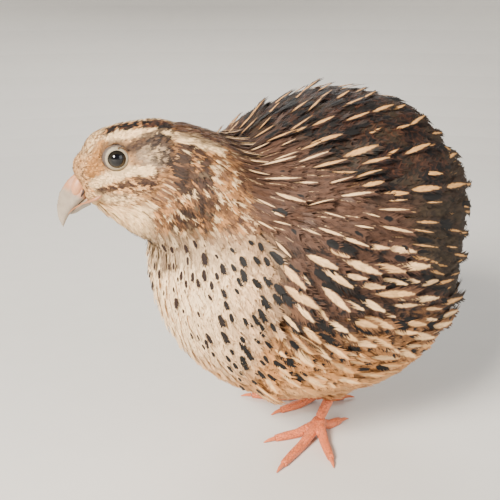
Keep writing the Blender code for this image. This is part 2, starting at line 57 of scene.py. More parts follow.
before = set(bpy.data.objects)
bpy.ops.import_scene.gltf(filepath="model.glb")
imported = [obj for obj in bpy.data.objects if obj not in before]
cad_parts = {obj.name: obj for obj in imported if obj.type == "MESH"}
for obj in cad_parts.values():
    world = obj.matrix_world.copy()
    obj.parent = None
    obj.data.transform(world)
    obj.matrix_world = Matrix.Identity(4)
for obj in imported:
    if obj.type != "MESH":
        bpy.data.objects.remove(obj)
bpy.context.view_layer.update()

# Places in the source's own axes, in metres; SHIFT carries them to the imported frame.
BODY_CENTRE = Vector((0.0030, 0.0, 0.0785))
BODY_FRONT = 0.0630
BODY_REAR = 0.0485
BODY_SIDE = 0.0480
BODY_UP = 0.0585
BODY_DOWN = 0.0580
BODY_PITCH = math.radians(-4.0)
BODY_POWER_FRONT = 2.05
BODY_POWER_REAR = 2.8
SHOULDER_DROP = 0.0150
BACK_LEAN = 0.0070
VENT_FULLNESS = 0.0080
HEAD_CENTRE = Vector((-0.0710, 0.0034, 0.1198))
HEAD_TURN = math.radians(20.0)
EYE_OUT = 0.0072
TAIL_ROOT = Vector((0.0400, 0.0, 0.0900))
FOOT_JOINTS = {"left": Vector((0.0044, -0.0085, 0.0045)), "right": Vector((0.0185, 0.0125, 0.0045))}
TOES = ("inner", "middle", "outer", "hind")
SIDES = {"left": 1.0, "right": -1.0}
FLESH = ("torso", "neck", "head", "thigh_left", "thigh_right")
BREAST, BACK = "plumage_breast", "plumage_back"

# Edges between the parts of the plumage: each gives way to the next from the first number to the
# second, in millimetres along the trunk or round the head, or in degrees round the trunk. Only the
# foot of the neck is in metres above the floor.
HEAD_EDGE = (17.0, 21.0)
NECK_FOOT = (0.092, 0.100)
NECK_REAR = (-46.0, -38.0)
BREAST_TOP = (50.0, 62.0)
BREAST_REAR = (-46.0, -36.0)
CHEST_FRONT = (-50.0, -44.0)
BELLY_SIDE = (129.0, 143.0)
BELLY_FRONT = (-42.0, -20.0)
KEEL_SIDE = (146.0, 166.0)
KEEL_FRONT = (-56.0, -44.0)
FLANK_FRONT = (-45.0, -36.0)
FLANK_TOP = 68.0
BACK_SIDE = (54.0, 64.0)
BACK_FRONT = -29.0
REAR_FRONT = (-4.0, 10.0)
RUMP_FRONT = (22.0, 34.0)
EDGE_HALF = 4.0
FLANK_EDGE_HALF = 5.0

# Widths, in metres, of the soft random patches in the markings.
EDGE_WAVES = 0.013
CLUMP_WIDTH = 0.011
OLIVE_WIDTH = 0.019
BLACK_WIDTH = 0.017
DARK_WIDTH = 0.0085
FLECK_WIDTH = 0.0034
FINE_FLECK_WIDTH = 0.0019

# Lines over the side of the head, as millimetres forward and up from its centre.
BROW = (
    (7.5, 2.6), (3.5, 5.0), (0.9, 6.3), (-4.1, 6.9), (-10.6, 7.2), (-16.0, 6.9), (-21.5, 6.0),
    (-27.8, 3.7), (-32.0, 2.0),
)
CHEEK = ((8.0, -8.0), (3.0, -5.6), (-4.0, -3.6), (-9.0, -3.8))
MALAR = ((7.0, -10.6), (0.5, -8.8), (-5.0, -7.0), (-9.5, -7.6))
LORES = ((4.5, 2.5), (7.5, -2.0), (8.0, -4.0))
BEHIND_EAR = ((-4.6, 3.0), (-9.0, 5.9), (-15.0, 4.6), (-17.5, 0.5), (-17.0, -4.0))
NECK_BAND = ((-15.0, 4.0), (-22.0, -2.0), (-24.0, -11.0), (-21.0, -21.0), (-26.0, -32.0))
MOUTH = ((15.0, -17.2), (11.0, -15.4), (8.0, -13.6), (5.6, -11.8))
EAR_CENTRE = (-11.0, 1.4)
EAR_RADII = (5.6, 4.4)

# The surface under the outer coat: its cells, its rounds of smoothing, and how far it is drawn in.
COVER_CELL = 0.0016
COVER_ROUNDS = 10
COVER_DEPTH = 0.0010

# The skin: its rounds of smoothing, and how far it swells round the bill's base and on the forehead.
SKIN_ROUNDS = 4
BILL_CUFF = 0.0005
FOREHEAD_RISE = 0.0018

# Where feathers grow: up to the tail's own, down to the bare shanks, and clear of eye and mouth.
TAIL_FREE = 0.0580
BARE_LEGS = 0.0155
RING_REACH = 0.0040
MOUTH_REACH = 0.0006

# Random tries for each feather's place, the weight below which a zone counts as absent, each
# feather's patch on the bake map, and the roughness of all plumage.
TRIES = 5.0
FAINT = 0.02
BAKE_PATCH = 0.003
PLUMAGE_ROUGHNESS = 0.62


def head_point(forward, left, up):
    """A point in the head's frame: forward along the bill's heading, to the bird's left, and up."""
    return HEAD_CENTRE + Matrix.Rotation(-HEAD_TURN, 3, "Z") @ Vector((-forward, -left, up))


def find_shift():
    low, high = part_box("eye_left")
    return (low + high) / 2.0 - head_point(0.0, EYE_OUT, 0.0)


SHIFT = find_shift()


def tint(code):
    """A display colour such as E8DCC4 as a linear one."""
    parts = [int(code[i:i + 2], 16) / 255.0 for i in (0, 2, 4)]
    return tuple(c / 12.92 if c <= 0.04045 else ((c + 0.055) / 1.055) ** 2.4 for c in parts)


COLOURS = {
    "white": ("F8E4C2", "Palest feathers"),
    "cream": ("F0CB98", "Ground of the breast and of the pale streaks"),
    "buff": ("C0854E", "Belly and the warm edges of breast feathers"),
    "cinnamon": ("4C3325", "Shoulders and the sides of the flank streaks"),
    "rufous": ("54301C", "Bars on the back and flecks on the crown"),
    "ink": ("080504", "Blackest marks on back and flanks"),
    "umber": ("2B1810", "Spots of the breast and face lines"),
    "olive": ("33281A", "Wing, rump and tail"),
    "ash": ("5E5048", "Ear patch and fluffy grey tips"),
    "tan": ("B0763A", "Patch in front of the eye"),
    "streak": ("C08E55", "Bold shaft streaks of the back"),
    "horn": ("8C7E6E", "Bill"),
    "flesh": ("E07A4E", "Feet and shanks"),
    "ring": ("94866F", "Bare ring round the eye"),
    "iris": ("1C1810", "Iris"),
    "floor": ("DAD7D1", "Floor"),
}


def colour_property(name):
    code, note = COLOURS[name]
    return FloatVectorProperty(
        name=name.title(), description=note, default=tint(code), size=3, min=0.0, max=1.0, subtype="COLOR"
    )


def length_property(name, note, default):
    return FloatProperty(name=name, description=note, default=default, min=0.0, unit="LENGTH", precision=5)


class QuailSizes(bpy.types.PropertyGroup):
    """Sizes of skin and feathers."""

    seed: IntProperty(name="Seed", description="Start of every random draw", default=7, min=0)
    voxel: length_property("Skin grain", "Size of the skin's mesh cells", 0.0011)
    coat_depth: length_property("Coat depth", "How far the skin lies under the body's outline", 0.0019)
    face_depth: length_property("Face depth", "How far the skin lies under the head's outline", 0.0008)
    head_gap: length_property("Head spacing", "Distance between the head's feathers", 0.00056)
    neck_gap: length_property("Neck spacing", "Distance between the neck's feathers", 0.00082)
    breast_gap: length_property("Breast spacing", "Distance between the breast's feathers", 0.00112)
    belly_gap: length_property("Belly spacing", "Distance between the belly's feathers", 0.00155)
    flank_gap: length_property("Flank spacing", "Distance between the flank's feathers", 0.00165)
    back_gap: length_property("Back spacing", "Distance between the back's feathers", 0.00175)


class QuailColours(bpy.types.PropertyGroup):
    """Colours of plumage, bare parts and stage."""

    __annotations__ = {name: colour_property(name) for name in COLOURS}


def colours():
    palette = bpy.context.scene.quail_colours
    return {name: np.array(getattr(palette, name)[:]) for name in COLOURS}


def smooth_step(low, high, value):
    t = np.clip((value - low) / (high - low), 0.0, 1.0)
    return t * t * (3.0 - 2.0 * t)


def ripple(points, scale, phase=0.0):
    """A soft random field from -1 to 1, made of crossed waves."""
    x, y, z = (points * (2.0 * math.pi / scale)).T
    field = np.sin(x + 1.7 * np.sin(y * 0.9 + phase)) * np.cos(y * 1.1 + 1.3 * np.sin(z * 0.8 - phase))
    return field * 0.6 + 0.4 * np.sin(z * 1.3 + 1.9 * np.cos(x * 0.7 + phase))


def body_point(along, round_angle, lift=0.0, side=1.0):
    """A point over the trunk. along runs from 0 at the breast to 1 at the rump, round_angle from 0 on
    the back to pi under the belly, on the left for side 1 and on the right for side -1."""
    polar = math.pi * along
    unit = Vector(
        (
            -math.cos(polar),
            -side * math.sin(polar) * math.sin(round_angle),
            math.sin(polar) * math.cos(round_angle),
        )
    )
    radii = (
        BODY_FRONT if unit.x < 0 else BODY_REAR,
        BODY_SIDE,
        BODY_UP if unit.z > 0 else BODY_DOWN,
    )
    blend = (1.0 - math.cos(polar)) / 2.0
    power = BODY_POWER_FRONT + (BODY_POWER_REAR - BODY_POWER_FRONT) * blend
    reach = sum(abs(c) ** power for c in unit) ** (-1.0 / power)
    point = Vector([c * reach * r for c, r in zip(unit, radii)])
    slopes = [math.copysign(abs(c * reach) ** (power - 1.0), c) / r for c, r in zip(unit, radii)]
    point += Vector(slopes).normalized() * lift
    front = max(0.0, -point.x / BODY_FRONT)
    high = max(0.0, point.z / BODY_UP)
    point.z -= SHOULDER_DROP * front * high
    point.x += BACK_LEAN * high * high
    rear = max(0.0, point.x / BODY_REAR)
    low = max(0.0, -point.z / BODY_DOWN)
    point.x += VENT_FULLNESS * rear * low
    return BODY_CENTRE + Matrix.Rotation(-BODY_PITCH, 3, "Y") @ point


def linked_piece(name, mesh, material, slot):
    """An object at the origin for a finished mesh, riding on the bird."""
    mesh.materials.append(material)
    piece = bpy.data.objects.new(name, mesh)
    bpy.context.scene.collection.objects.link(piece)
    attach(piece, "root")
    return piece


def finished(name, bm, material, slot, shift=True):
    """A smooth piece from a bmesh in the source's axes, or in the frame's own without the shift."""
    if shift:
        bmesh.ops.translate(bm, vec=SHIFT, verts=bm.verts)
    mesh = bpy.data.meshes.new(name)
    bm.to_mesh(mesh)
    bm.free()
    mesh.polygons.foreach_set("use_smooth", [True] * len(mesh.polygons))
    return linked_piece(name, mesh, material, slot)


def relax(bm):
    """Draw every point half way to the middle of its neighbours."""
    bmesh.ops.smooth_vert(bm, verts=bm.verts, factor=0.5, use_axis_x=True, use_axis_y=True, use_axis_z=True)


def remeshed(nodes, voxel, rounds):
    """A bmesh of the merged copies of CAD nodes as one even, smoothed surface."""
    bm = bmesh.new()
    for node in nodes:
        bm.from_mesh(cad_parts[node].data)
    bmesh.ops.remove_doubles(bm, verts=bm.verts, dist=1e-6)
    mesh = bpy.data.meshes.new("flesh")
    bm.to_mesh(mesh)
    bm.free()
    carrier = bpy.data.objects.new("flesh", mesh)
    bpy.context.scene.collection.objects.link(carrier)
    remesh = carrier.modifiers.new("Remesh", "REMESH")
    remesh.mode = "VOXEL"
    remesh.voxel_size = voxel
    bpy.context.view_layer.update()
    evaluated = carrier.evaluated_get(bpy.context.evaluated_depsgraph_get())
    made = bmesh.new()
    made.from_mesh(evaluated.to_mesh())
    bpy.data.objects.remove(carrier)
    bpy.data.meshes.remove(mesh)
    for _ in range(rounds):
        relax(made)
    made.normal_update()
    return made


def body_place(points):
    """Millimetres along the trunk and degrees round it, 0 on the back and 180 under the belly."""
    q = (points - np.array(BODY_CENTRE)) * 1000.0
    return q[:, 0], np.degrees(np.arctan2(np.abs(q[:, 1]), q[:, 2]))


def head_place(points):
    """Millimetres forward, to the left and up in the head's frame."""
    turn = np.array(Matrix.Rotation(HEAD_TURN, 3, "Z"))
    q = (points - np.array(HEAD_CENTRE)) @ turn.T * 1000.0
    return -q[:, 0], -q[:, 1], q[:, 2]


def zones(points):
    """How much each place belongs to each part of the plumage."""
    x, angle = body_place(points)
    forward, left, up = head_place(points)
    reach = np.sqrt((forward + 2.0) ** 2 + left ** 2 + (up * 1.1) ** 2)
    head = 1.0 - smooth_step(*HEAD_EDGE, reach)
    edge = BACK_FRONT + 0.28 * angle
    above = 1.0 - smooth_step(*BACK_SIDE, angle)
    waving = x + 3.0 * ripple(points, EDGE_WAVES)
    back = smooth_step(edge - EDGE_HALF, edge + EDGE_HALF, waving) * above
    top = FLANK_TOP + 0.45 * np.maximum(0.0, x + 20.0) + 0.7 * np.maximum(0.0, x - 5.0)
    flank = smooth_step(top - FLANK_EDGE_HALF, top + FLANK_EDGE_HALF, angle) * smooth_step(*FLANK_FRONT, x)
    belly = smooth_step(*BELLY_SIDE, angle) * smooth_step(*BELLY_FRONT, x)
    belly = np.maximum(belly, smooth_step(*KEEL_SIDE, angle) * smooth_step(*KEEL_FRONT, x))
    flank = flank * (1.0 - belly)
    chest = np.maximum(smooth_step(*BREAST_TOP, angle), 1.0 - smooth_step(*CHEST_FRONT, x))
    breast = (1.0 - smooth_step(*BREAST_REAR, x)) * chest
    breast = breast * (1.0 - belly)
    high = smooth_step(*NECK_FOOT, points[:, 2])
    neck = (1.0 - smooth_step(*NECK_REAR, x)) * high * (1.0 - head)
    breast = breast * (1.0 - high)
    rear = smooth_step(*REAR_FRONT, x) * (1.0 - above) * (1.0 - flank) * (1.0 - belly)
    rump = smooth_step(*RUMP_FRONT, x) * above
    return {
        "head": head,
        "neck": neck,
        "breast": breast,
        "belly": belly,
        "flank": flank,
        "back": back * (1.0 - rump),
        "rump": rump,
        "rear": rear,
        "shoulder": 1.0 - np.clip(head + back + flank + belly + breast + neck + rear, 0.0, 1.0),
    }


def main_zone(points, *names):
    """1 where one of the named zones outweighs the others."""
    weights = zones(points)
    strongest = np.argmax(np.stack(list(weights.values())), axis=0)
    return np.isin(strongest, [list(weights).index(name) for name in names]) * 1.0


LIE_SOURCE = np.array((-0.0600, 0.0, 0.1270))
LIE_END = np.array((0.0780, 0.0, 0.0880))
LIE_RISE = np.array((0.0, 0.0, 0.75))
BILL_BASE = np.array(head_point(0.0170, 0.0, -0.0060))
HEADING = Matrix.Rotation(-HEAD_TURN, 3, "Z") @ Vector((-1.0, 0.0, 0.0))
EYE_CENTRES = [np.array(head_point(0.0, EYE_OUT * side, 0.0)) for side in SIDES.values()]


def unit(vectors):
    return vectors / np.maximum(np.linalg.norm(vectors, axis=1, keepdims=True), 1e-9)


def lie(points, normals):
    """The way the feathers point: back from the bill, downwards over the breast, and back over the body."""
    x, angle = body_place(points)
    away = unit(points - LIE_SOURCE)
    towards = unit(LIE_END - points)
    pull = 1.25 * smooth_step(-52.0, 4.0, x)[:, None]
    rising = smooth_step(-18.0, -2.0, x) * smooth_step(38.0, 24.0, x) * smooth_step(72.0, 52.0, angle)
    flow = away + towards * pull + LIE_RISE * rising[:, None]
    forward, left, up = head_place(points)
    reach = np.sqrt(forward ** 2 + left ** 2 + up ** 2)
    on_head = (1.0 - smooth_step(15.0, 28.0, reach))[:, None]
    head_flow = unit(points - BILL_BASE) - np.array(HEADING) * 0.5
    flow = unit(flow) * (1.0 - on_head) + unit(head_flow) * on_head
    for centre in EYE_CENTRES:
        out = points - centre
        near = (1.0 - smooth_step(0.0045, 0.0095, np.linalg.norm(out, axis=1)))[:, None]
        out = unit(out)
        inwards = np.minimum(0.0, np.sum(flow * out, axis=1, keepdims=True))
        flow = flow - out * inwards * near + out * 0.30 * near
    flow -= normals * np.sum(flow * normals, axis=1, keepdims=True)
    return unit(flow)


def skin_chart(points):
    """The skin unwrapped round its own long axes, head and body side by side, as UVs."""
    q = points - np.array(BODY_CENTRE)
    turn = np.arctan2(q[:, 1], q[:, 2]) / (2.0 * math.pi) + 0.5
    polar = np.arctan2(np.hypot(q[:, 1], q[:, 2]), -q[:, 0]) / math.pi
    body = np.stack([0.01 + 0.98 * turn, 0.01 + 0.60 * polar], axis=1)
    forward, left, up = head_place(points)
    turn = np.arctan2(left, up) / (2.0 * math.pi) + 0.5
    polar = np.arctan2(np.hypot(left, up), forward + 4.0) / math.pi
    head = np.stack([0.01 + 0.98 * turn, 0.65 + 0.34 * polar], axis=1)
    is_head = (zones(points)["head"] > 0.5)[:, None]
    return np.where(is_head, head, body)


def line_distance(forward, up, line):
    """Millimetres from each place to a line drawn over the side of the head."""
    spot = np.stack([forward, up], axis=1)
    nearest = np.full(len(spot), 1e9)
    for start, end in zip(line[:-1], line[1:]):
        start, way = np.array(start), np.array(end) - np.array(start)
        share = np.clip((spot - start) @ way / (way @ way), 0.0, 1.0)
        nearest = np.minimum(nearest, np.linalg.norm(spot - start - share[:, None] * way, axis=1))
    return nearest


def trace(at, line, half):
    """How much each place lies on a stripe of this half width along a line of the head."""
    return 1.0 - smooth_step(half * 0.75, half * 1.25, line_distance(at.forward, at.up, line))


def bare_distance(points):
    """Metres from the nearer eye's ring and from the line of the mouth."""
    eyes = np.min([np.linalg.norm(points - centre, axis=1) for centre in EYE_CENTRES], axis=0)
    forward, _, up = head_place(points)
    return eyes - RING_REACH, line_distance(forward, up, MOUTH) / 1000.0


def above_brow(at):
    """Millimetres above the brow line."""
    return at.up - np.interp(-at.forward, [-forward for forward, _ in BROW], [up for _, up in BROW])


def mix(base, colour, share):
    share = np.asarray(share, dtype=float).reshape(-1, 1)
    return base * (1.0 - share) + colour * share


def glaze(c, base, *layers):
    """A base colour with others laid over it in turn, each by its share, by name or as they are."""
    tone = c[base]
    for colour, share in layers:
        tone = mix(tone, c[colour] if isinstance(colour, str) else colour, share)
    return tone


def survey(points, chance):
    """All that the markings depend on at each place. chance holds three random numbers for each."""
    x, angle = body_place(points)
    forward, left, up = head_place(points)
    luck, pick, shade = chance.T
    return types.SimpleNamespace(
        points=points, x=x, angle=angle, forward=forward, left=left, up=up, luck=luck, pick=pick,
        shade=shade, clump=ripple(points, CLUMP_WIDTH), **zones(points),
    )


def zone_grounds(at, c):
    """The ground colour of each zone at every place."""
    x, pick, shade = at.x, at.pick, at.shade
    throat = smooth_step(-15.0, -9.0, at.forward - 0.35 * np.abs(at.left)) * (at.up < -8.0)
    neck = glaze(
        c, "cinnamon",
        ("buff", 0.15 + 0.55 * smooth_step(0.3, 0.8, pick)),
        ("umber", (at.luck > 0.80) * 0.8),
        ("cream", np.maximum(throat * 0.85, (shade > 0.80) * 0.6)),
    )
    black = smooth_step(0.05, 0.45, ripple(at.points, BLACK_WIDTH, 4.0)) * (pick > 0.15)
    back = glaze(
        c, "ink",
        ("umber", smooth_step(0.3, 0.9, pick) * 0.8),
        ("rufous", smooth_step(0.78, 1.0, shade) * 0.40),
        ("olive", smooth_step(-0.2, 0.5, ripple(at.points, OLIVE_WIDTH, 2.0)) * 0.65),
        ("ash", smooth_step(0.35, 0.9, at.clump) * (shade > 0.3) * 0.40),
        ("ink", black * 0.85),
    )
    rear = glaze(c, "olive", ("umber", shade * 0.5))
    under = smooth_step(-60.0, -40.0, x)
    upper = (1.0 - smooth_step(52.0, 84.0, at.angle)) * (0.45 + 0.4 * pick)
    breast = glaze(
        c, "cream",
        ("white", 0.40),
        ("buff", 0.07 + 0.18 * shade + 0.38 * under),
        ("cinnamon", np.maximum(upper, under * (pick > 0.72) * 0.6)),
    )
    side = 1.0 - smooth_step(96.0, 128.0, at.angle + 14.0 * (pick - 0.5))
    dark_places = smooth_step(0.15, 0.5, ripple(at.points, DARK_WIDTH, 1.0))
    flank = glaze(
        c, "buff",
        ("cinnamon", side),
        ("umber", smooth_step(-20.0, 20.0, x) * side * (0.35 + 0.5 * shade)),
        ("ink", np.maximum((at.luck < 0.10) * 0.85, dark_places * (shade > 0.2) * 0.8) * side),
    )
    return {
        "head": c["buff"],
        "neck": neck,
        "breast": breast,
        "belly": mix(c["buff"] * 0.80, c["cream"], 0.30 * shade),
        "flank": flank,
        "back": back,
        "rump": mix(rear, c["ink"], 0.35 * pick),
        "rear": rear,
        "shoulder": glaze(c, "cinnamon", ("ash", smooth_step(0.4, 1.0, at.clump) * 0.35)),
    }


def mark_strengths(at, bold):
    """How strong the shaft streak, drop spot, bars and side blotches are on each feather."""
    luck, pick, shade = at.luck, at.pick, at.shade
    streak, spot, bars, blotch = np.zeros((4, len(at.points)))
    if bold == "spots":
        front = 1.0 - smooth_step(-62.0, -44.0, at.x)
        fade = 1.0 - smooth_step(138.0, 160.0, at.angle)
        spot = at.breast * fade * (0.72 + 0.75 * pick - 0.50 * front) * (luck < 0.82)
        spot += at.flank * (0.70 + 0.65 * pick) * (luck < 0.85)
        spot += (at.back + at.rear) * (0.5 + 0.9 * pick) + at.shoulder * (0.1 + 0.6 * pick)
    elif bold:
        streak = at.back * (0.28 + 0.16 * shade) + at.flank * (0.36 + 0.16 * shade)
        streak += at.shoulder * (0.26 + 0.12 * shade)
        streak += at.rear * 0.22 + at.rump * 0.26
        bars = at.back * 0.3 + 0.3 * at.rump
        blotch = at.flank * np.where(pick < 0.8, 1.0, 0.4) + 0.9 * at.back
        blotch = blotch + 0.4 * at.shoulder + 0.5 * at.rear
    else:
        streak = at.shoulder * np.where(luck < 0.3, 0.08, 0.0) + at.rump * np.where(luck < 0.3, 0.12, 0.0)
        bars = at.back * (0.15 + 0.40 * pick) + 0.5 * at.rump + 0.5 * at.rear * (shade > 0.4)
        blotch = at.flank * (pick < 0.35) * 0.8 + 0.35 * at.shoulder * (pick < 0.25)
    return np.stack([streak, spot, bars, blotch], axis=1)


def plumage(points, chance, bold=""):
    """Ground, ink, deep and pale colours and the strengths of the marks for feathers at these places.
    The skin gives a half for every random number. The bold ones are the sparser feathers on top,
    with "streaks" or "spots"."""
    c = colours()
    at = survey(points, chance)
    grounds = zone_grounds(at, c)
    weights = {name: getattr(at, name)[:, None] for name in grounds}
    ground = sum(weights[name] * tone for name, tone in grounds.items())
    ground = ground / np.maximum(sum(weights.values()), 1e-6)
    marks = mark_strengths(at, bold)
    near = at.head + at.neck > FAINT
    if np.any(near):
        near_at = types.SimpleNamespace(**{key: values[near] for key, values in vars(at).items()})
        ground[near] = head_and_neck(near_at, c, ground[near])
        marks[near, 0] *= 1.0 - near_at.head
    brown_spots = at.head + at.breast * (1.0 - smooth_step(-60.0, -46.0, at.x)) * 0.8 + 0.5 * at.neck
    deep = glaze(c, "ink", ("umber", np.clip(brown_spots, 0.0, 1.0)))
    warm = np.clip(at.back + at.rump + at.rear + 0.5 * at.flank * at.pick + 0.3, 0.0, 1.0)
    return {
        "ground": ground,
        "ink": mix(deep, c["rufous"], np.clip(at.back + 0.6 * at.rump, 0.0, 1.0) * 0.9),
        "deep": deep,
        "pale": glaze(c, "cream", ("streak", warm)),
        "marks": marks,
    }


def head_and_neck(at, c, ground):
    """The ground with the face's colours, the brow's end, the dark band of the neck and the nape."""
    brow = trace(at, BROW, 1.3) * (1.0 - at.head)
    band = trace(at, NECK_BAND, 6.5) * np.clip(at.neck + at.head, 0.0, 1.0)
    blotched = band * (at.luck < 0.50 + 0.25 * at.clump) * (1.0 - brow)
    nape = smooth_step(-0.8, 0.8, above_brow(at)) * at.neck
    ground = mix(ground, head_colours(at, c), at.head)
    ground = mix(ground, c["cream"], brow * 0.9)
    ground = mix(ground, glaze(c, "ink", ("umber", at.shade * 0.7)), blotched * 0.9)
    return mix(ground, glaze(c, "umber", ("rufous", at.shade * 0.5)), nape * 0.75)


def head_colours(at, c):
    """The ground colour of the head, stripe by stripe."""
    forward, up, luck, pick, shade = at.forward, at.up, at.luck, at.pick, at.shade
    rearward = smooth_step(0.0, -11.0, forward) * smooth_step(4.0, -2.0, up)
    flecked = ripple(at.points, FLECK_WIDTH, 3.0) + 0.5 * ripple(at.points, FINE_FLECK_WIDTH, 1.0)
    crown = smooth_step(-0.5, 0.4, above_brow(at)) * (1.0 - smooth_step(4.0, 9.0, forward))
    crown_tone = glaze(
        c, "ink", ("rufous", smooth_step(0.45, 1.0, shade) * 0.75), ("buff", (luck < 0.22) * 0.7)
    )
    parting = 1.0 - smooth_step(0.7, 1.3, np.abs(at.left))
    forehead = smooth_step(3.0, 6.0, forward) * smooth_step(-1.0, 2.0, up)
    forehead_tone = glaze(
        c, "cream", ("umber", np.maximum(luck < 0.36, flecked > 0.42) * 0.85), ("tan", 0.45 * pick)
    )
    ring = np.hypot(forward, up)
    upper_side = smooth_step(-0.3, 0.6, (up + 0.5 * forward) / np.maximum(ring, 1e-6))
    arc = (1.0 - smooth_step(5.0, 6.3, ring)) * upper_side
    ear_reach = np.hypot((forward - EAR_CENTRE[0]) / EAR_RADII[0], (up - EAR_CENTRE[1]) / EAR_RADII[1])
    ear = 1.0 - smooth_step(0.75, 1.15, ear_reach)
    ear_light = 0.15 + 0.40 * shade * (1.0 - smooth_step(0.2, 0.9, ear_reach))
    throat = (1.0 - smooth_step(-12.4, -10.2, up)) * smooth_step(-8.0, -1.0, forward)
    speck = np.maximum(luck < 0.18, flecked > 0.55) * 0.7
    return glaze(
        c, "buff",
        ("cream", 0.5 * pick),
        ("cinnamon", rearward * (0.25 + 0.5 * shade)),
        ("umber", (luck < 0.30 + 0.22 * rearward) * 0.8),
        ("umber", smooth_step(0.30, 0.60, flecked) * (0.55 + 0.25 * rearward)),
        (crown_tone, crown),
        ("cream", parting * crown * 0.8),
        (glaze(c, "cream", ("buff", 0.25 * shade)), trace(at, BROW, 1.2) * 0.95),
        (forehead_tone, forehead * 0.9),
        (glaze(c, "tan", ("umber", 0.35 * shade)), trace(at, LORES, 2.6) * 0.85),
        ("umber", arc * 0.65),
        (glaze(c, "ash", ("cream", ear_light)), ear * 0.9),
        ("umber", trace(at, BEHIND_EAR, 1.7) * 0.85),
        (glaze(c, "cream", ("ash", 0.15 * pick)), trace(at, CHEEK, 1.6) * 0.9),
        ("umber", trace(at, MALAR, 1.15) * (luck < 0.85) * 0.9),
        (glaze(c, "cream", ("umber", speck)), throat * 0.9),
    )


def link_up(tree, node, inputs):
    """Sets a node's inputs, each to a value or to another node's socket."""
    for key, value in inputs.items():
        socket = node.inputs[key]
        if isinstance(value, bpy.types.NodeSocket):
            tree.links.new(value, socket)
        else:
            socket.default_value = value
    return node


def add(tree, kind, inputs=None, **settings):
    """A node with its settings and its inputs, each a number, a colour or another node's socket."""
    node = tree.nodes.new("ShaderNode" + kind)
    for key, value in settings.items():
        setattr(node, key, value)
    return link_up(tree, node, inputs or {})


def maths(tree, operation, first, second=0.0, third=0.0, clamp=False):
    node = add(tree, "Math", {0: first, 1: second, 2: third}, operation=operation, use_clamp=clamp)
    return node.outputs[0]


def product(tree, first, second):
    return maths(tree, "MULTIPLY", first, second)


def scaled(tree, value, factor, offset):
    """A value times a factor, plus an offset."""
    return maths(tree, "MULTIPLY_ADD", value, factor, offset)


def ramp(tree, value, low, high):
    """0 below low and 1 above high, eased between."""
    ends = {"Value": value, "From Min": low, "From Max": high}
    return add(tree, "MapRange", ends, interpolation_type="SMOOTHSTEP").outputs[0]


def noise(tree, place, scale, detail):
    return add(tree, "TexNoise", {"Vector": place, "Scale": scale, "Detail": detail}).outputs["Fac"]


def object_place(tree):
    return add(tree, "TexCoord").outputs["Object"]


def blend(tree, share, first, second, mode="MIX"):
    node = add(tree, "Mix", data_type="RGBA", blend_type=mode)
    link_up(tree, node, {0: share, 6: first, 7: second})
    return node.outputs[2]


def grey(tree, level):
    return add(tree, "CombineColor", {0: level, 1: level, 2: level}).outputs[0]


def shaded(tree, colour, shade):
    """A colour made darker or lighter by a grey shade."""
    return blend(tree, 1.0, colour, shade, "MULTIPLY")


def solid(colour, share=1.0):
    """A colour with its alpha, made darker or lighter by a share."""
    return (*(np.asarray(colour) * share), 1.0)


def group(name, inputs, outputs):
    """An empty shader node group with its sockets, and its input and output nodes."""
    tree = bpy.data.node_groups.new(name, "ShaderNodeTree")
    for socket, (kind, default) in inputs.items():
        made = tree.interface.new_socket(name=socket, in_out="INPUT", socket_type="NodeSocket" + kind)
        made.default_value = default
    for socket, kind in outputs.items():
        tree.interface.new_socket(name=socket, in_out="OUTPUT", socket_type="NodeSocket" + kind)
    return tree, tree.nodes.new("NodeGroupInput").outputs, tree.nodes.new("NodeGroupOutput")


def use_group(tree, maker, name, inputs):
    """The outputs of a shared node group, which is built when it is first used."""
    node = tree.nodes.new("ShaderNodeGroup")
    node.node_tree = bpy.data.node_groups.get(name) or maker(name)
    return link_up(tree, node, inputs).outputs


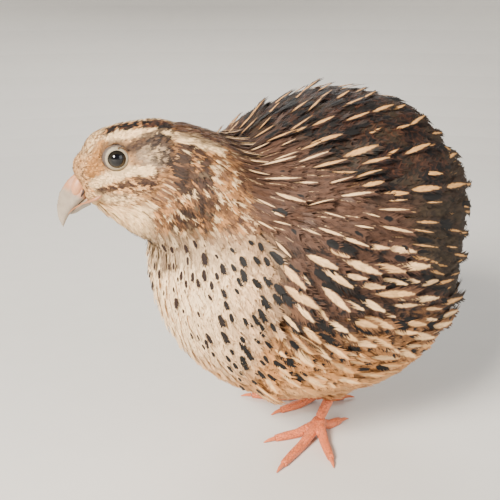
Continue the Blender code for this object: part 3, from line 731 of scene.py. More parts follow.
def feather_marks(name):
    """The marks inside one feather: shaft streak, drop spot, bars and side blotches, and its barbs."""
    colour, number = ("Color", (0.8, 0.8, 0.8, 1.0)), ("Float", 0.0)
    inputs = {"Feather UV": ("Vector", (0.0, 0.0, 0.0))}
    inputs.update({key: colour for key in ("Ground", "Bar Colour", "Dark", "Pale")})
    inputs.update({key: number for key in ("Streak", "Spot", "Bars", "Blotch")})
    inputs["Tone"] = ("Float", 1.0)
    tree, given, out = group(name, inputs, {"Color": "Color", "Height": "Float"})
    place = object_place(tree)
    grain = noise(tree, place, 900.0, 2.0)
    wide = noise(tree, place, 230.0, 2.0)
    split = add(tree, "SeparateXYZ", {0: given["Feather UV"]})
    across = maths(tree, "ABSOLUTE", scaled(tree, split.outputs[0], 2.0, -1.0))
    along = split.outputs[1]
    side = maths(tree, "ADD", across, scaled(tree, grain, 0.36, -0.18))

    reach = maths(tree, "MULTIPLY_ADD", along, 1.12, -0.14, clamp=True)
    lens = maths(tree, "SINE", product(tree, maths(tree, "POWER", reach, 0.85), math.pi))
    width = product(tree, given["Streak"], lens)
    streak = ramp(tree, maths(tree, "SUBTRACT", width, side), -0.05, 0.16)
    streak = product(tree, streak, ramp(tree, given["Streak"], 0.01, 0.05))

    up = maths(tree, "DIVIDE", maths(tree, "SUBTRACT", along, 0.72), 0.36)
    out_side = product(tree, side, 1.45)
    drop = maths(tree, "ADD", product(tree, up, up), product(tree, out_side, out_side))
    drop = maths(tree, "ADD", maths(tree, "SQRT", drop), scaled(tree, wide, 1.3, -0.65))
    spot = ramp(tree, maths(tree, "SUBTRACT", given["Spot"], drop), -0.06, 0.10)
    spot = product(tree, spot, ramp(tree, given["Spot"], 0.05, 0.2))

    phase = scaled(tree, wide, 9.0, scaled(tree, along, 24.0, product(tree, across, -3.0)))
    bars = product(tree, ramp(tree, maths(tree, "SINE", phase), 0.25, 0.75), given["Bars"])

    outside = ramp(tree, maths(tree, "SUBTRACT", side, width), 0.06, 0.16)
    cells = maths(tree, "SINE", scaled(tree, wide, 7.0, product(tree, along, 11.0)))
    before_tip = maths(tree, "SUBTRACT", 1.0, ramp(tree, along, 0.85, 0.97))
    body = product(tree, ramp(tree, along, 0.25, 0.4), before_tip)
    blotch = product(tree, product(tree, outside, body), ramp(tree, cells, -0.35, 0.0))
    blotch = product(tree, blotch, given["Blotch"])

    colour = blend(tree, bars, given["Ground"], given["Bar Colour"])
    colour = blend(tree, blotch, colour, given["Dark"])
    colour = blend(tree, spot, colour, given["Dark"])
    colour = blend(tree, streak, colour, given["Pale"])
    barb_phase = scaled(tree, along, 70.0, product(tree, across, -45.0))
    barb = scaled(tree, maths(tree, "SINE", barb_phase), 0.5, 0.5)
    light = scaled(tree, grain, 0.5, scaled(tree, barb, 0.10, 0.68))
    light = product(tree, light, scaled(tree, ramp(tree, along, 0.0, 0.45), 0.25, 0.77))
    light = product(tree, light, given["Tone"])
    tree.links.new(shaded(tree, colour, grey(tree, light)), out.inputs["Color"])
    tree.links.new(barb, out.inputs["Height"])
    return tree


def surface_grain(name):
    """Fine uneven grain, as a grey shade from dark to light and as its own value."""
    numbers = {"Scale": 500.0, "Detail": 3.0, "Dark": 0.75, "Light": 1.2}
    inputs = {key: ("Float", value) for key, value in numbers.items()}
    tree, given, out = group(name, inputs, {"Shade": "Color", "Grain": "Float"})
    grain = noise(tree, object_place(tree), given["Scale"], given["Detail"])
    span = maths(tree, "SUBTRACT", given["Light"], given["Dark"])
    shade = grey(tree, scaled(tree, grain, span, given["Dark"]))
    tree.links.new(shade, out.inputs["Shade"])
    tree.links.new(grain, out.inputs["Grain"])
    return tree


def round_mask(name):
    """A mask by distance from a centre: 0 at the start of its edge and 1 at the end."""
    numbers = {"Waver": 0.0, "Start": 0.0, "End": 1.0}
    inputs = {"Centre": ("Vector", (0.0, 0.0, 0.0))}
    inputs.update({key: ("Float", value) for key, value in numbers.items()})
    tree, given, out = group(name, inputs, {"Mask": "Float"})
    offset = add(tree, "VectorMath", {0: object_place(tree), 1: given["Centre"]}, operation="DISTANCE")
    distance = maths(tree, "ADD", offset.outputs["Value"], given["Waver"])
    tree.links.new(ramp(tree, distance, given["Start"], given["End"]), out.inputs["Mask"])
    return tree


def grained(tree, scale, detail, dark, light):
    """The outputs of a surface grain in a material: Shade and Grain."""
    inputs = {"Scale": scale, "Detail": detail, "Dark": dark, "Light": light}
    return use_group(tree, surface_grain, "Surface Grain", inputs)


def masked(tree, centre, start, end, waver=0.0):
    """A mask by distance from a centre in a material, with its edge pushed about by waver."""
    inputs = {"Centre": centre, "Start": start, "End": end, "Waver": waver}
    return use_group(tree, round_mask, "Round Mask", inputs)["Mask"]


def shader(material, colour, roughness, height=None, strength=0.2, distance=0.0003, **sockets):
    """The material's own surface shader, with its bump and its plain values."""
    tree = material.node_tree
    inputs = {"Base Color": colour, "Roughness": roughness}
    if height is not None:
        bump = add(tree, "Bump", {"Strength": strength, "Distance": distance, "Height": height})
        inputs["Normal"] = bump.outputs[0]
    inputs.update({key.replace("_", " "): value for key, value in sockets.items()})
    surface = add(tree, "BsdfPrincipled", inputs)
    output = tree.nodes.new("ShaderNodeOutputMaterial")
    tree.links.new(surface.outputs[0], output.inputs[0])
    return material


def new_material(name):
    material = bpy.data.materials.new(name)
    material.use_nodes = True
    material.node_tree.nodes.clear()
    return material


def plumage_material():
    name = "Plumage"
    if name in bpy.data.materials:
        return bpy.data.materials[name]
    material = new_material(name)
    tree = material.node_tree
    attributes = ("ground", "ink", "deep", "pale", "marks")
    read = {key: add(tree, "Attribute", attribute_name=key).outputs for key in attributes}
    marks = add(tree, "SeparateColor", {0: read["marks"]["Color"]}).outputs
    inputs = {
        "Feather UV": add(tree, "UVMap", uv_map="feather").outputs[0],
        "Ground": read["ground"]["Color"],
        "Bar Colour": read["ink"]["Color"],
        "Dark": read["deep"]["Color"],
        "Pale": read["pale"]["Color"],
        "Streak": marks[0],
        "Spot": marks[1],
        "Bars": marks[2],
        "Blotch": read["marks"]["Alpha"],
        "Tone": read["ground"]["Alpha"],
    }
    drawn = use_group(tree, feather_marks, "Feather Marks", inputs)
    rough = scaled(tree, drawn["Height"], 0.10, PLUMAGE_ROUGHNESS)
    return shader(material, drawn["Color"], rough, drawn["Height"], 0.25, 0.0001, Specular_IOR_Level=0.3)


def spike(base, tip, half, ridge=0.12):
    """A closed barb of four faces, wide at its base with a low ridge, and pointed at its tip."""
    bm = bmesh.new()
    bmesh.ops.create_cone(bm, cap_ends=True, segments=3, radius1=1.0, radius2=0.0, depth=1.0)
    low = sorted((v for v in bm.verts if v.co.z < 0.0), key=lambda v: v.co.x)
    peak = next(v for v in bm.verts if v.co.z > 0.0)
    base, tip = Vector(base), Vector(tip)
    across = (tip - base).cross(Vector((0.0, 0.0, 1.0))).normalized() * half
    low[0].co, low[2].co = base - across, base + across
    low[1].co = base + Vector((0.0, 0.0, ridge * half))
    peak.co = tip
    bmesh.ops.recalc_face_normals(bm, faces=bm.faces)
    return bm


def template(parts, rng):
    """One feather from its ribs and barbs, as arrays: points, triangles, UVs and a tone for each barb."""
    points, faces, tones = [], [], []
    for bm in parts:
        first = len(points)
        bm.verts.index_update()
        points += [vert.co[:] for vert in bm.verts]
        tones += [rng.uniform(0.80, 1.20)] * len(bm.verts)
        faces += [[first + v.index for v in face.verts] for face in bm.faces]
        bm.free()
    points = np.array(points)
    reach = np.abs(points[:, 0]).max()
    uvs = np.stack([0.5 + 0.5 * points[:, 0] / reach, points[:, 1]], axis=1)
    return points, np.array(faces, dtype=np.int32), np.clip(uvs, 0.0, 1.0), np.array(tones)


# The share of a feather's length at which it begins to narrow.
WIDEST = 0.42


def outline(along, point):
    """Half width of a feather at a place along its shaft, more pointed as point grows."""
    start = min(1.0, 0.42 + 1.5 * along)
    beyond = min(1.0, max(0.0, (along - WIDEST) / 0.60))
    return start * (1.0 - beyond ** 2.2) ** (0.5 * point)


def barbed_shape(pairs, point, slant, rng, fullness=1.0):
    """A feather as a shaft with pairs of barbs that close up at the shaft and fray at the edge."""
    parts = [spike((0.0, 0.0, 0.03), (0.0, 1.0, 0.0), 0.10, 0.5)]
    gap = 0.86 / pairs
    for k in range(pairs):
        base = 0.02 + gap * (k + 0.5)
        for side in (-1.0, 1.0):
            width = max(0.12, outline(base, point)) * rng.uniform(0.80, 1.12)
            ahead = slant * width * rng.uniform(0.8, 1.25) + 0.5 * gap
            root = (0.0, base, 0.02 * rng.random())
            tip = (side * width, base + ahead, rng.uniform(-0.10, 0.02))
            parts.append(spike(root, tip, gap * fullness * rng.uniform(0.75, 1.1)))
    return template(parts, rng)


@functools.lru_cache(maxsize=None)
def cover():
    """The surface that the outer coat stands on: flesh, folded wings and tail as one smooth form."""
    bm = remeshed((*FLESH, "wing_left", "wing_right", "tail"), COVER_CELL, COVER_ROUNDS)
    for vert in bm.verts:
        vert.co -= vert.normal * COVER_DEPTH
    bm.normal_update()
    mesh = bpy.data.meshes.new("cover")
    bm.to_mesh(mesh)
    bm.free()
    return mesh


def vertex_values(mesh, key):
    """The places or the normals of a mesh's vertices, as they stand in the frame."""
    values = np.zeros(len(mesh.vertices) * 3)
    mesh.vertices.foreach_get(key, values)
    return values.reshape(-1, 3)


def skin_arrays(mesh):
    """Corners and corner normals of a surface's triangles, in the source's axes."""
    mesh.calc_loop_triangles()
    corners = np.zeros(len(mesh.loop_triangles) * 3, dtype=np.int32)
    mesh.loop_triangles.foreach_get("vertices", corners)
    corners = corners.reshape(-1, 3)
    return (vertex_values(mesh, "co") - np.array(SHIFT))[corners], vertex_values(mesh, "normal")[corners]


def scatter(surface, gap, zone, rng):
    """Roots spread evenly over the part of a surface where the zone says so, gap apart. The tail
    keeps its own feathers."""
    def wanted(places):
        return zone(places) * (places[:, 0] < TAIL_FREE)

    corners, corner_normals = skin_arrays(surface)
    centres = corners.mean(axis=1)
    use = wanted(centres) > FAINT
    corners, corner_normals = corners[use], corner_normals[use]
    edge_a, edge_b = corners[:, 1] - corners[:, 0], corners[:, 2] - corners[:, 0]
    areas = np.linalg.norm(np.cross(edge_a, edge_b), axis=1) / 2.0
    count = int(areas.sum() / gap ** 2 * TRIES)
    pick = rng.choice(len(areas), size=count, p=areas / areas.sum())
    a, b = rng.random(count), rng.random(count)
    fold = a + b > 1.0
    a, b = np.where(fold, 1.0 - a, a), np.where(fold, 1.0 - b, b)
    weights = np.stack([1.0 - a - b, a, b], axis=1)[:, :, None]
    points = (corners[pick] * weights).sum(axis=1)
    normals = unit((corner_normals[pick] * weights).sum(axis=1))
    keep = rng.random(count) < wanted(points)
    points, normals = points[keep], normals[keep]
    tree = KDTree(len(points))
    for i, point in enumerate(points):
        tree.insert(point, i)
    tree.balance()
    open_place = np.ones(len(points), dtype=bool)
    kept = []
    for i in range(len(points)):
        if open_place[i]:
            kept.append(i)
            for _, j, _ in tree.find_range(points[i], gap):
                open_place[j] = False
    return points[kept], normals[kept]


def paint(mesh, attribute, values):
    """A colour for each vertex, with an alpha of one where the values have none."""
    full = np.ones((len(values), 4), np.float32)
    full[:, : values.shape[1]] = values
    mesh.attributes.new(attribute, "FLOAT_COLOR", "POINT").data.foreach_set("color", full.ravel())


def unwrap(mesh, layer, values, corners):
    """A UV map from a place for each vertex."""
    mesh.uv_layers.new(name=layer).data.foreach_set("uv", values[corners].astype(np.float32).ravel())


def mesh_from_arrays(name, points, faces, layers, attributes, slot):
    """A joined mesh piece of plumage with its UV maps and its point attributes."""
    mesh = bpy.data.meshes.new(name)
    mesh.vertices.add(len(points))
    mesh.vertices.foreach_set("co", (points + np.array(SHIFT)).astype(np.float32).ravel())
    mesh.loops.add(faces.size)
    mesh.loops.foreach_set("vertex_index", faces.astype(np.int32).ravel())
    mesh.polygons.add(len(faces))
    mesh.polygons.foreach_set("loop_start", np.arange(0, faces.size, 3, dtype=np.int32))
    mesh.polygons.foreach_set("use_smooth", [False] * len(faces))
    mesh.update(calc_edges=True)
    for layer, values in layers.items():
        unwrap(mesh, layer, values, faces.ravel())
    for attribute, values in attributes.items():
        paint(mesh, attribute, values)
    return linked_piece(name, mesh, plumage_material(), slot)


def surface_falls(surface, roots, ways, normals, lengths):
    """How far the surface falls from the root's own plane half way along each feather and at its end."""
    mesh_points = [vert.co - SHIFT for vert in surface.vertices]
    tree = BVHTree.FromPolygons(mesh_points, [tuple(face.vertices) for face in surface.polygons])
    falls = np.zeros((len(roots), 2))
    for column, share in enumerate((0.5, 1.0)):
        for k, spot in enumerate(roots + ways * lengths * share):
            nearest = tree.find_nearest(Vector(spot))[0]
            falls[k, column] = (np.array(nearest) - roots[k]) @ normals[k]
    return falls


# Where along a feather its colours are taken, how far it turns and rolls by chance in radians, and how
# high its root stands over the surface.
PLACE_OF_LOOK = 0.55
YAW_PLAIN, YAW_BOLD = 0.11, 0.15
ROLL = 0.10
ROOT_PLAIN, ROOT_BOLD = -0.0003, 0.0006


def plant(name, shapes, roots, normals, sizes, lift, slot, rng, surface, bold):
    """Copies feather shapes to their roots, bent along the surface. sizes are (length, half width), and
    lift is how steeply each stands off the skin. The shapes are shared out by chance."""
    count = len(roots)
    ways = lie(roots, normals)
    chance = rng.random((count, 3))
    look = plumage(roots + ways * sizes[:, :1] * PLACE_OF_LOOK, chance, bold)
    across = np.cross(ways, normals)
    yaw = rng.normal(0.0, YAW_BOLD if bold else YAW_PLAIN, count)[:, None]
    forward = unit(ways + across * yaw)
    across = unit(np.cross(forward, normals))
    pitch = (lift * rng.uniform(0.75, 1.3, count))[:, None]
    roll = rng.normal(0.0, ROLL, count)[:, None]
    choice = rng.integers(0, len(shapes), count)
    falls = surface_falls(surface, roots, forward, normals, sizes[:, :1])
    chart = skin_chart(roots)
    parts, first = [], 0
    for index, (points, faces, uv, tone) in enumerate(shapes):
        mine = np.nonzero(choice == index)[0]
        if not len(mine):
            continue
        length, half = sizes[mine, 0][:, None], sizes[mine, 1][:, None]
        x, y, z = points[:, 0] * half, points[:, 1] * length, points[:, 2] * half
        share = points[:, 1][None]
        half_way, end = falls[mine, :1], falls[mine, 1:]
        bend = (4.0 * half_way - end) * share + (2.0 * end - 4.0 * half_way) * share ** 2
        rise = z + y * pitch[mine] + x * roll[mine] + bend
        placed = (
            roots[mine][:, None, :]
            + across[mine][:, None, :] * x[:, :, None]
            + forward[mine][:, None, :] * y[:, :, None]
            + normals[mine][:, None, :] * (rise + (ROOT_BOLD if bold else ROOT_PLAIN))[:, :, None]
        )
        offsets = first + np.arange(len(mine))[:, None, None] * len(points)
        first += len(mine) * len(points)
        part = {key: np.repeat(values[mine], len(points), axis=0) for key, values in look.items()}
        part["ground"] = np.column_stack([part["ground"], np.tile(tone, len(mine))])
        patch = chart[mine][:, None, :] + (uv[None] - 0.5) * BAKE_PATCH
        parts.append(
            (
                placed.reshape(-1, 3),
                (faces[None] + offsets).reshape(-1, 3),
                {"OFBake": patch.reshape(-1, 2), "feather": np.tile(uv, (len(mine), 1))},
                part,
            )
        )
    return joined(name, parts, slot, count)


def joined(name, parts, slot, count):
    """One piece from parts of points, faces, UV maps and point attributes."""
    points, faces, maps, looks = zip(*parts)
    layers = {key: np.concatenate([each[key] for each in maps]) for key in maps[0]}
    attributes = {key: np.concatenate([each[key] for each in looks]) for key in looks[0]}
    piece = mesh_from_arrays(name, np.concatenate(points), np.concatenate(faces), layers, attributes, slot)
    print(f"{name}: {count} feathers, {len(piece.data.polygons)} triangles")
    return piece


def coat(name, zone, gap, length, half, lift, shapes, slot, rng, surface=None, bold=""):
    """One part of the plumage, grown from the surface over flesh and wings, or from the one given.
    length and half give each root its feather's length and half width."""
    surface = surface or cover()
    roots, normals = scatter(surface, gap, zone, rng)
    count = len(roots)
    spread = rng.uniform(0.55, 1.15, (count, 1)) if bold else rng.uniform(0.85, 1.15, (count, 2))
    sizes = np.stack([length(roots), half(roots)], axis=1) * spread
    return plant(name, shapes, roots, normals, sizes, lift, slot, rng, surface, bold)


class QUAIL_OT_skin(bpy.types.Operator):
    """Merge the flesh of the solids into one skin that lies under the coat"""

    bl_idname = "quail.skin"
    bl_label = "Skin"

    def execute(self, context):
        sizes = context.scene.quail_sizes
        bm = remeshed(FLESH, sizes.voxel, SKIN_ROUNDS)
        places = np.array([v.co[:] for v in bm.verts]) - np.array(SHIFT)
        on_head = zones(places)["head"]
        depths = sizes.coat_depth + (sizes.face_depth - sizes.coat_depth) * on_head
        forward, _, up = head_place(places)
        at_bill = smooth_step(7.0, 11.0, forward) * (up < -3.0)
        depths = depths * (1.0 - at_bill) - BILL_CUFF * at_bill
        forehead = smooth_step(6.0, 11.0, forward) * smooth_step(-8.5, -5.0, up) * smooth_step(2.5, -3.0, up)
        depths = depths * (1.0 - forehead) - FOREHEAD_RISE * forehead
        for vert, depth in zip(bm.verts, depths):
            vert.co -= vert.normal * float(depth)
        relax(bm)
        skin = finished("skin", bm, skin_material(), BREAST, shift=False)
        paint_skin(skin)
        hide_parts(*FLESH)
        return {"FINISHED"}


def paint_skin(skin):
    """The coat's own markings on the skin, with its unwrap."""
    mesh = skin.data
    points = vertex_values(mesh, "co") - np.array(SHIFT)
    look = plumage(points, np.full((len(points), 3), 0.5))
    paint(mesh, "ground", look["ground"])
    corners = np.zeros(len(mesh.loops), dtype=np.int32)
    mesh.loops.foreach_get("vertex_index", corners)
    unwrap(mesh, "OFBake", skin_chart(points), corners)


def skin_material():
    material = new_material("Skin")
    tree = material.node_tree
    ground = add(tree, "Attribute", attribute_name="ground").outputs["Color"]
    # Fine grain of down, and painted shade: the skin is darkened to between 0.35 and 0.95 of the coat's
    # colour, standing for the shade in the gaps between feathers.
    down_grain_and_gap_shade = grained(tree, 700.0, 3.0, 0.35, 0.95)
    colour = shaded(tree, ground, down_grain_and_gap_shade["Shade"])
    return shader(material, colour, 0.85, down_grain_and_gap_shade["Grain"], 0.5, 0.0004)


def drawer(name):
    """A random source of its own for each piece, so that one piece doesn't change another."""
    seed = bpy.context.scene.quail_sizes.seed
    return np.random.default_rng([seed] + [ord(c) for c in name])


# Head feathers: their length on the face and how much more on the nape, how far they may reach over
# ring and mouth, their half width as a share of the length, and their lift.
FACE_LENGTH = 0.0020
NAPE_EXTRA = 0.0016
EYE_OVERLAP = 0.0009
MOUTH_OVERLAP = 0.0010
HEAD_HALF = 0.20
HEAD_LIFT = 0.20


class QUAIL_OT_head_coat(bpy.types.Operator):
    """Grow the smallest feathers over head and face"""

    bl_idname = "quail.head_coat"
    bl_label = "Head feathers"

    def execute(self, context):
        sizes = context.scene.quail_sizes
        rng = drawer("head_coat")
        shapes = [barbed_shape(3, 1.3, 0.45, rng) for _ in range(5)]

        def wanted(points):
            eyes, mouth = bare_distance(points)
            return main_zone(points, "head") * (eyes > 0.0) * (mouth > MOUTH_REACH)

        def length(points):
            forward, _, _ = head_place(points)
            eyes, mouth = bare_distance(points)
            free = np.minimum(eyes + EYE_OVERLAP, mouth + MOUTH_OVERLAP)
            return np.minimum(FACE_LENGTH + NAPE_EXTRA * smooth_step(8.0, -14.0, forward), free)

        coat(
            "head_coat", wanted, sizes.head_gap, length, lambda p: length(p) * HEAD_HALF, HEAD_LIFT, shapes,
            BREAST, rng, surface=bpy.data.objects["skin"].data,
        )
        return {"FINISHED"}


# One coat: the zones it covers, the gap between feathers, their length, half width and lift, how many
# pairs of barbs they have, how pointed the first shape is and by how much more each next one, the
# slant of the barbs, how many shapes there are, the slot, and the kind of bold marks, if any.
Coat = collections.namedtuple(
    "Coat",
    ("zones", "gap", "length", "half", "lift", "pairs", "point", "step", "slant", "shapes", "slot", "bold"),
    defaults=("",),
)
# For the plain coats the gap is a share of the spacing property of that name.
PLAIN_COATS = {
    "neck": Coat(("neck",), 1.0, 0.0044, 0.00085, 0.18, 5, 1.1, 0.0, 0.45, 4, BREAST),
    "breast": Coat(("breast",), 1.0, 0.0052, 0.0012, 0.17, 6, 1.0, 0.0, 0.42, 5, BREAST),
    "belly": Coat(("belly",), 1.0, 0.0064, 0.0016, 0.17, 6, 1.1, 0.0, 0.45, 5, BREAST),
    "flank": Coat(("flank",), 1.0, 0.0088, 0.0018, 0.16, 7, 1.1, 0.3, 0.36, 4, BREAST),
    "back": Coat(("back", "rump", "rear"), 1.0, 0.0088, 0.0018, 0.19, 7, 1.1, 0.3, 0.36, 4, BACK),
    "shoulder": Coat(("shoulder",), 0.85, 0.0080, 0.0015, 0.16, 7, 1.2, 0.3, 0.40, 4, BACK),
}
BOLD_COATS = {
    "flank_blotches": Coat(("flank",), 0.0044, 0.0100, 0.0021, 0.16, 9, 1.0, 0.2, 0.34, 4, BREAST, "spots"),
    "back_blotches": Coat(
        ("back", "shoulder", "rear"), 0.0074, 0.0115, 0.0024, 0.16, 9, 1.2, 0.2, 0.34, 4, BACK, "spots"
    ),
    "breast_spots": Coat(("breast",), 0.0031, 0.0060, 0.0015, 0.17, 9, 1.0, 0.2, 0.34, 4, BREAST, "spots"),
    "flank_streaks": Coat(("flank",), 0.0047, 0.0150, 0.0028, 0.20, 9, 1.3, 0.2, 0.34, 4, BREAST, "streaks"),
    "back_streaks": Coat(
        ("back", "rump", "rear"), 0.0070, 0.0125, 0.0023, 0.26, 9, 1.6, 0.2, 0.34, 4, BACK, "streaks"
    ),
    "shoulder_streaks": Coat(
        ("shoulder",), 0.0048, 0.0125, 0.0014, 0.19, 9, 1.4, 0.2, 0.34, 4, BACK, "streaks"
    ),
}
BOLD_FULLNESS = 1.2


def grow(name, row, gap, rng):
    """A coat whose feathers are all of one size, from its row of the table."""
    fullness = BOLD_FULLNESS if row.bold else 1.0
    points = [row.point + row.step * k for k in range(row.shapes)]
    shapes = [barbed_shape(row.pairs, point, row.slant, rng, fullness) for point in points]
    floor = BARE_LEGS if row.zones == ("belly",) else 0.0
    coat(
        name, lambda p: main_zone(p, *row.zones) * (p[:, 2] > floor), gap,
        lambda p: np.full(len(p), row.length), lambda p: np.full(len(p), row.half), row.lift, shapes,
        row.slot, rng, bold=row.bold,
    )


class QUAIL_OT_body_coats(bpy.types.Operator):
    """Grow the plain feathers of neck, breast, belly, flanks, back and shoulders"""

    bl_idname = "quail.body_coats"
    bl_label = "Body feathers"

    def execute(self, context):
        sizes = context.scene.quail_sizes
        for name, row in PLAIN_COATS.items():
            # The shoulders go on with the back's random draws and share its spacing.
            if name != "shoulder":
                rng = drawer(f"{name}_coat")
                spacing = getattr(sizes, f"{name}_gap")
            grow(f"{name}_coat", row, spacing * row.gap, rng)
        return {"FINISHED"}


class QUAIL_OT_bold_feathers(bpy.types.Operator):
    """Lay the streaked and spotted feathers over the plain ones"""

    bl_idname = "quail.bold_feathers"
    bl_label = "Streaks and spots"

    def execute(self, context):
        for name, row in BOLD_COATS.items():
            grow(name, row, row.gap, drawer(name))
        return {"FINISHED"}


# The places along a large feather's shaft at which its spine is set.
SHARES = np.linspace(0.0, 1.0, 8)

# Each tier of the wing: how many feathers, where its first and last roots and its first and last tips
# lie as (share along the trunk, degrees round it), their width, and their lift at root, middle and tip.
WING_TIERS = {
    "primary": (
        8, ((0.46, 84.0), (0.56, 100.0)), ((0.90, 74.0), (0.83, 101.0)), 0.0105, (0.0018, 0.0026, 0.0020)
    ),
    "secondary": (
        9, ((0.36, 62.0), (0.50, 92.0)), ((0.84, 56.0), (0.80, 84.0)), 0.0105, (0.0018, 0.0034, 0.0030)
    ),
    "greater": (
        10, ((0.31, 60.0), (0.40, 98.0)), ((0.68, 56.0), (0.66, 96.0)), 0.0095, (-0.0006, 0.0012, 0.0022)
    ),
    "median": (
        9, ((0.26, 62.0), (0.32, 98.0)), ((0.53, 56.0), (0.52, 98.0)), 0.0088, (-0.0014, 0.0004, 0.0016)
    ),
    "lesser": (
        9, ((0.22, 64.0), (0.26, 96.0)), ((0.43, 60.0), (0.42, 96.0)), 0.0078, (-0.0022, -0.0006, 0.0008)
    ),
}
# Strengths of streak, spot, bars and blotches in each tier.
WING_MARKS = {
    "primary": (0.06, 0.0, 0.8, 0.0),
    "secondary": (0.16, 0.0, 0.8, 0.3),
    "greater": (0.13, 0.0, 0.5, 0.3),
    "median": (0.12, 0.0, 0.3, 0.2),
    "lesser": (0.12, 0.0, 0.1, 0.1),
}

# How far a wing feather tilts over its width, how its line bows round the trunk, and how far its tip may
# stray by chance along the trunk (as a share) and round it (in degrees).
WING_TILT = 0.0012
WING_ARCH = math.radians(3.0)
STRAY_ALONG = 0.012
STRAY_ROUND = 2.0

# The large feathers of wing and tail: their pairs of barbs, their points, the slant and the fullness.
VANE_PAIRS = 26
VANE_POINTS = (0.8, 1.0, 1.2)
VANE_SLANT = 0.16
VANE_FULLNESS = 2.0


def vane_shapes(rng):
    return [barbed_shape(VANE_PAIRS, point, VANE_SLANT, rng, VANE_FULLNESS) for point in VANE_POINTS]


def blade(shape, spine, width, tilt):
    """A large feather, bent along its spine."""
    points, faces, uv, tone = shape
    along = np.clip(points[:, 1], 0.0, 1.0)
    middle, normal, across = (
        np.stack([np.interp(along, SHARES, [row[k][axis] for row in spine]) for axis in range(3)], axis=1)
        for k in range(3)
    )
    half = width / 2.0
    rise = points[:, 2] * half + points[:, 0] * tilt / 2.0
    rows = middle + across * points[:, :1] * half + normal * rise[:, None]
    return rows, faces, uv, tone


def joined_blades(name, blades, looks, slot):
    """One piece from large feathers, each with its own colours, on its patch of the bake map."""
    parts, first = [], 0
    for (rows, tris, uv, tone), look in zip(blades, looks):
        part = {key: np.repeat(value, len(rows), axis=0) for key, value in look.items()}
        part["ground"] = np.column_stack([part["ground"], tone])
        patch = skin_chart(rows[:1]) + (uv - 0.5) * BAKE_PATCH
        parts.append((rows, tris + first, {"OFBake": patch, "feather": uv}, part))
        first += len(rows)
    piece = joined(name, parts, slot, len(blades))
    bm = bmesh.new()
    bm.from_mesh(piece.data)
    bmesh.ops.recalc_face_normals(bm, faces=bm.faces)
    bm.to_mesh(piece.data)
    bm.free()
    return piece


def row_place(row, share):
    (along_a, angle_a), (along_b, angle_b) = row
    return along_a + (along_b - along_a) * share, math.radians(angle_a + (angle_b - angle_a) * share)


def wing_spine(root, tip, side, lifts):
    """The middle line of a wing feather over the trunk, with its normals and crosswise ways."""
    spine = []
    for share in SHARES:
        along = root[0] + (tip[0] - root[0]) * share
        angle = root[1] + (tip[1] - root[1]) * share + WING_ARCH * math.sin(math.pi * share)
        lift = float(np.interp(share, (0.0, 0.5, 1.0), lifts))
        point = body_point(along, angle, lift, side)
        ahead = body_point(along + (tip[0] - root[0]) * 0.01, angle + (tip[1] - root[1]) * 0.01, lift, side)
        normal = (body_point(along, angle, lift + 0.001, side) - point).normalized()
        across = (ahead - point).normalized().cross(normal) * side
        spine.append((point, normal, across))
    return spine


class QUAIL_OT_wings(bpy.types.Operator):
    """Lay the wing feathers in tiers, from the lesser coverts to the primaries"""

    bl_idname = "quail.wings"
    bl_label = "Wings"

    def execute(self, context):
        c = colours()
        for name, side in SIDES.items():
            rng = drawer(f"wing_{name}")
            shapes = vane_shapes(rng)
            blades, looks = [], []
            for tier, (count, roots, tips, width, lifts) in WING_TIERS.items():
                for k in range(count):
                    share = k / (count - 1)
                    along, angle = row_place(tips, share)
                    along += rng.uniform(-STRAY_ALONG, STRAY_ALONG)
                    tip = (along, angle + math.radians(rng.uniform(-STRAY_ROUND, STRAY_ROUND)))
                    spine = wing_spine(row_place(roots, share), tip, side, lifts)
                    width_here = width * rng.uniform(0.92, 1.08)
                    blades.append(blade(shapes[k % len(shapes)], spine, width_here, WING_TILT))
                    looks.append(wing_look(tier, c, rng))
            piece = joined_blades(f"wing_feathers_{name}", blades, looks, BACK)
            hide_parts(f"wing_{name}")
        return {"FINISHED"}


def wing_look(tier, c, rng):
    """Colours of one wing feather: brown with buff bars, and a pale shaft line on the coverts."""
    shade = rng.random()
    small = tier in ("median", "lesser")
    base = c["cinnamon"] * 0.55 + c["olive"] * 0.45 if small else c["olive"]
    ground = base * (0.75 + 0.4 * shade)
    return {
        "ground": ground[None],
        "ink": (c["streak"] * 0.6 + c["rufous"] * 0.4 if tier == "primary" else c["umber"])[None],
        "deep": c["ink"][None],
        "pale": c["streak"][None],
        "marks": np.array([WING_MARKS[tier]]),
    }


# Each tier of the tail: how many feathers, their length, height over the root, width and droop.
TAIL_TIERS = {
    "rectrix": (10, 0.0395, -0.0012, 0.0090, math.radians(20.0)),
    "covert": (9, 0.0320, 0.0010, 0.0095, math.radians(17.0)),
    "rump": (8, 0.0250, 0.0030, 0.0098, math.radians(14.0)),
}

# The fan's half angle and half width, the curve and the tilt of each feather, and how much lower and
# shorter the outermost ones are.
TAIL_FAN = math.radians(15.0)
TAIL_SPREAD = 0.0080
TAIL_CURVE = math.radians(14.0)
TAIL_TILT = 0.001
TAIL_DROP = 0.003
TAIL_SHORTER = 0.12


def tail_spine(fan, length, height, pitch):
    """The middle line of a tail feather, with its normals and crosswise ways."""
    root = TAIL_ROOT + Vector((0.0, -TAIL_SPREAD * math.sin(fan) / math.sin(TAIL_FAN), height))
    spine = []
    for share in SHARES:
        slope = pitch + TAIL_CURVE * share
        forward = Vector((math.cos(fan), -math.sin(fan), -math.tan(slope))).normalized()
        roll = Matrix.Rotation(-fan * 0.9, 3, "X")
        normal = (roll @ Vector((math.sin(slope), 0.0, math.cos(slope)))).normalized()
        spine.append((root + forward * length * float(share), normal, forward.cross(normal).normalized()))
    return spine


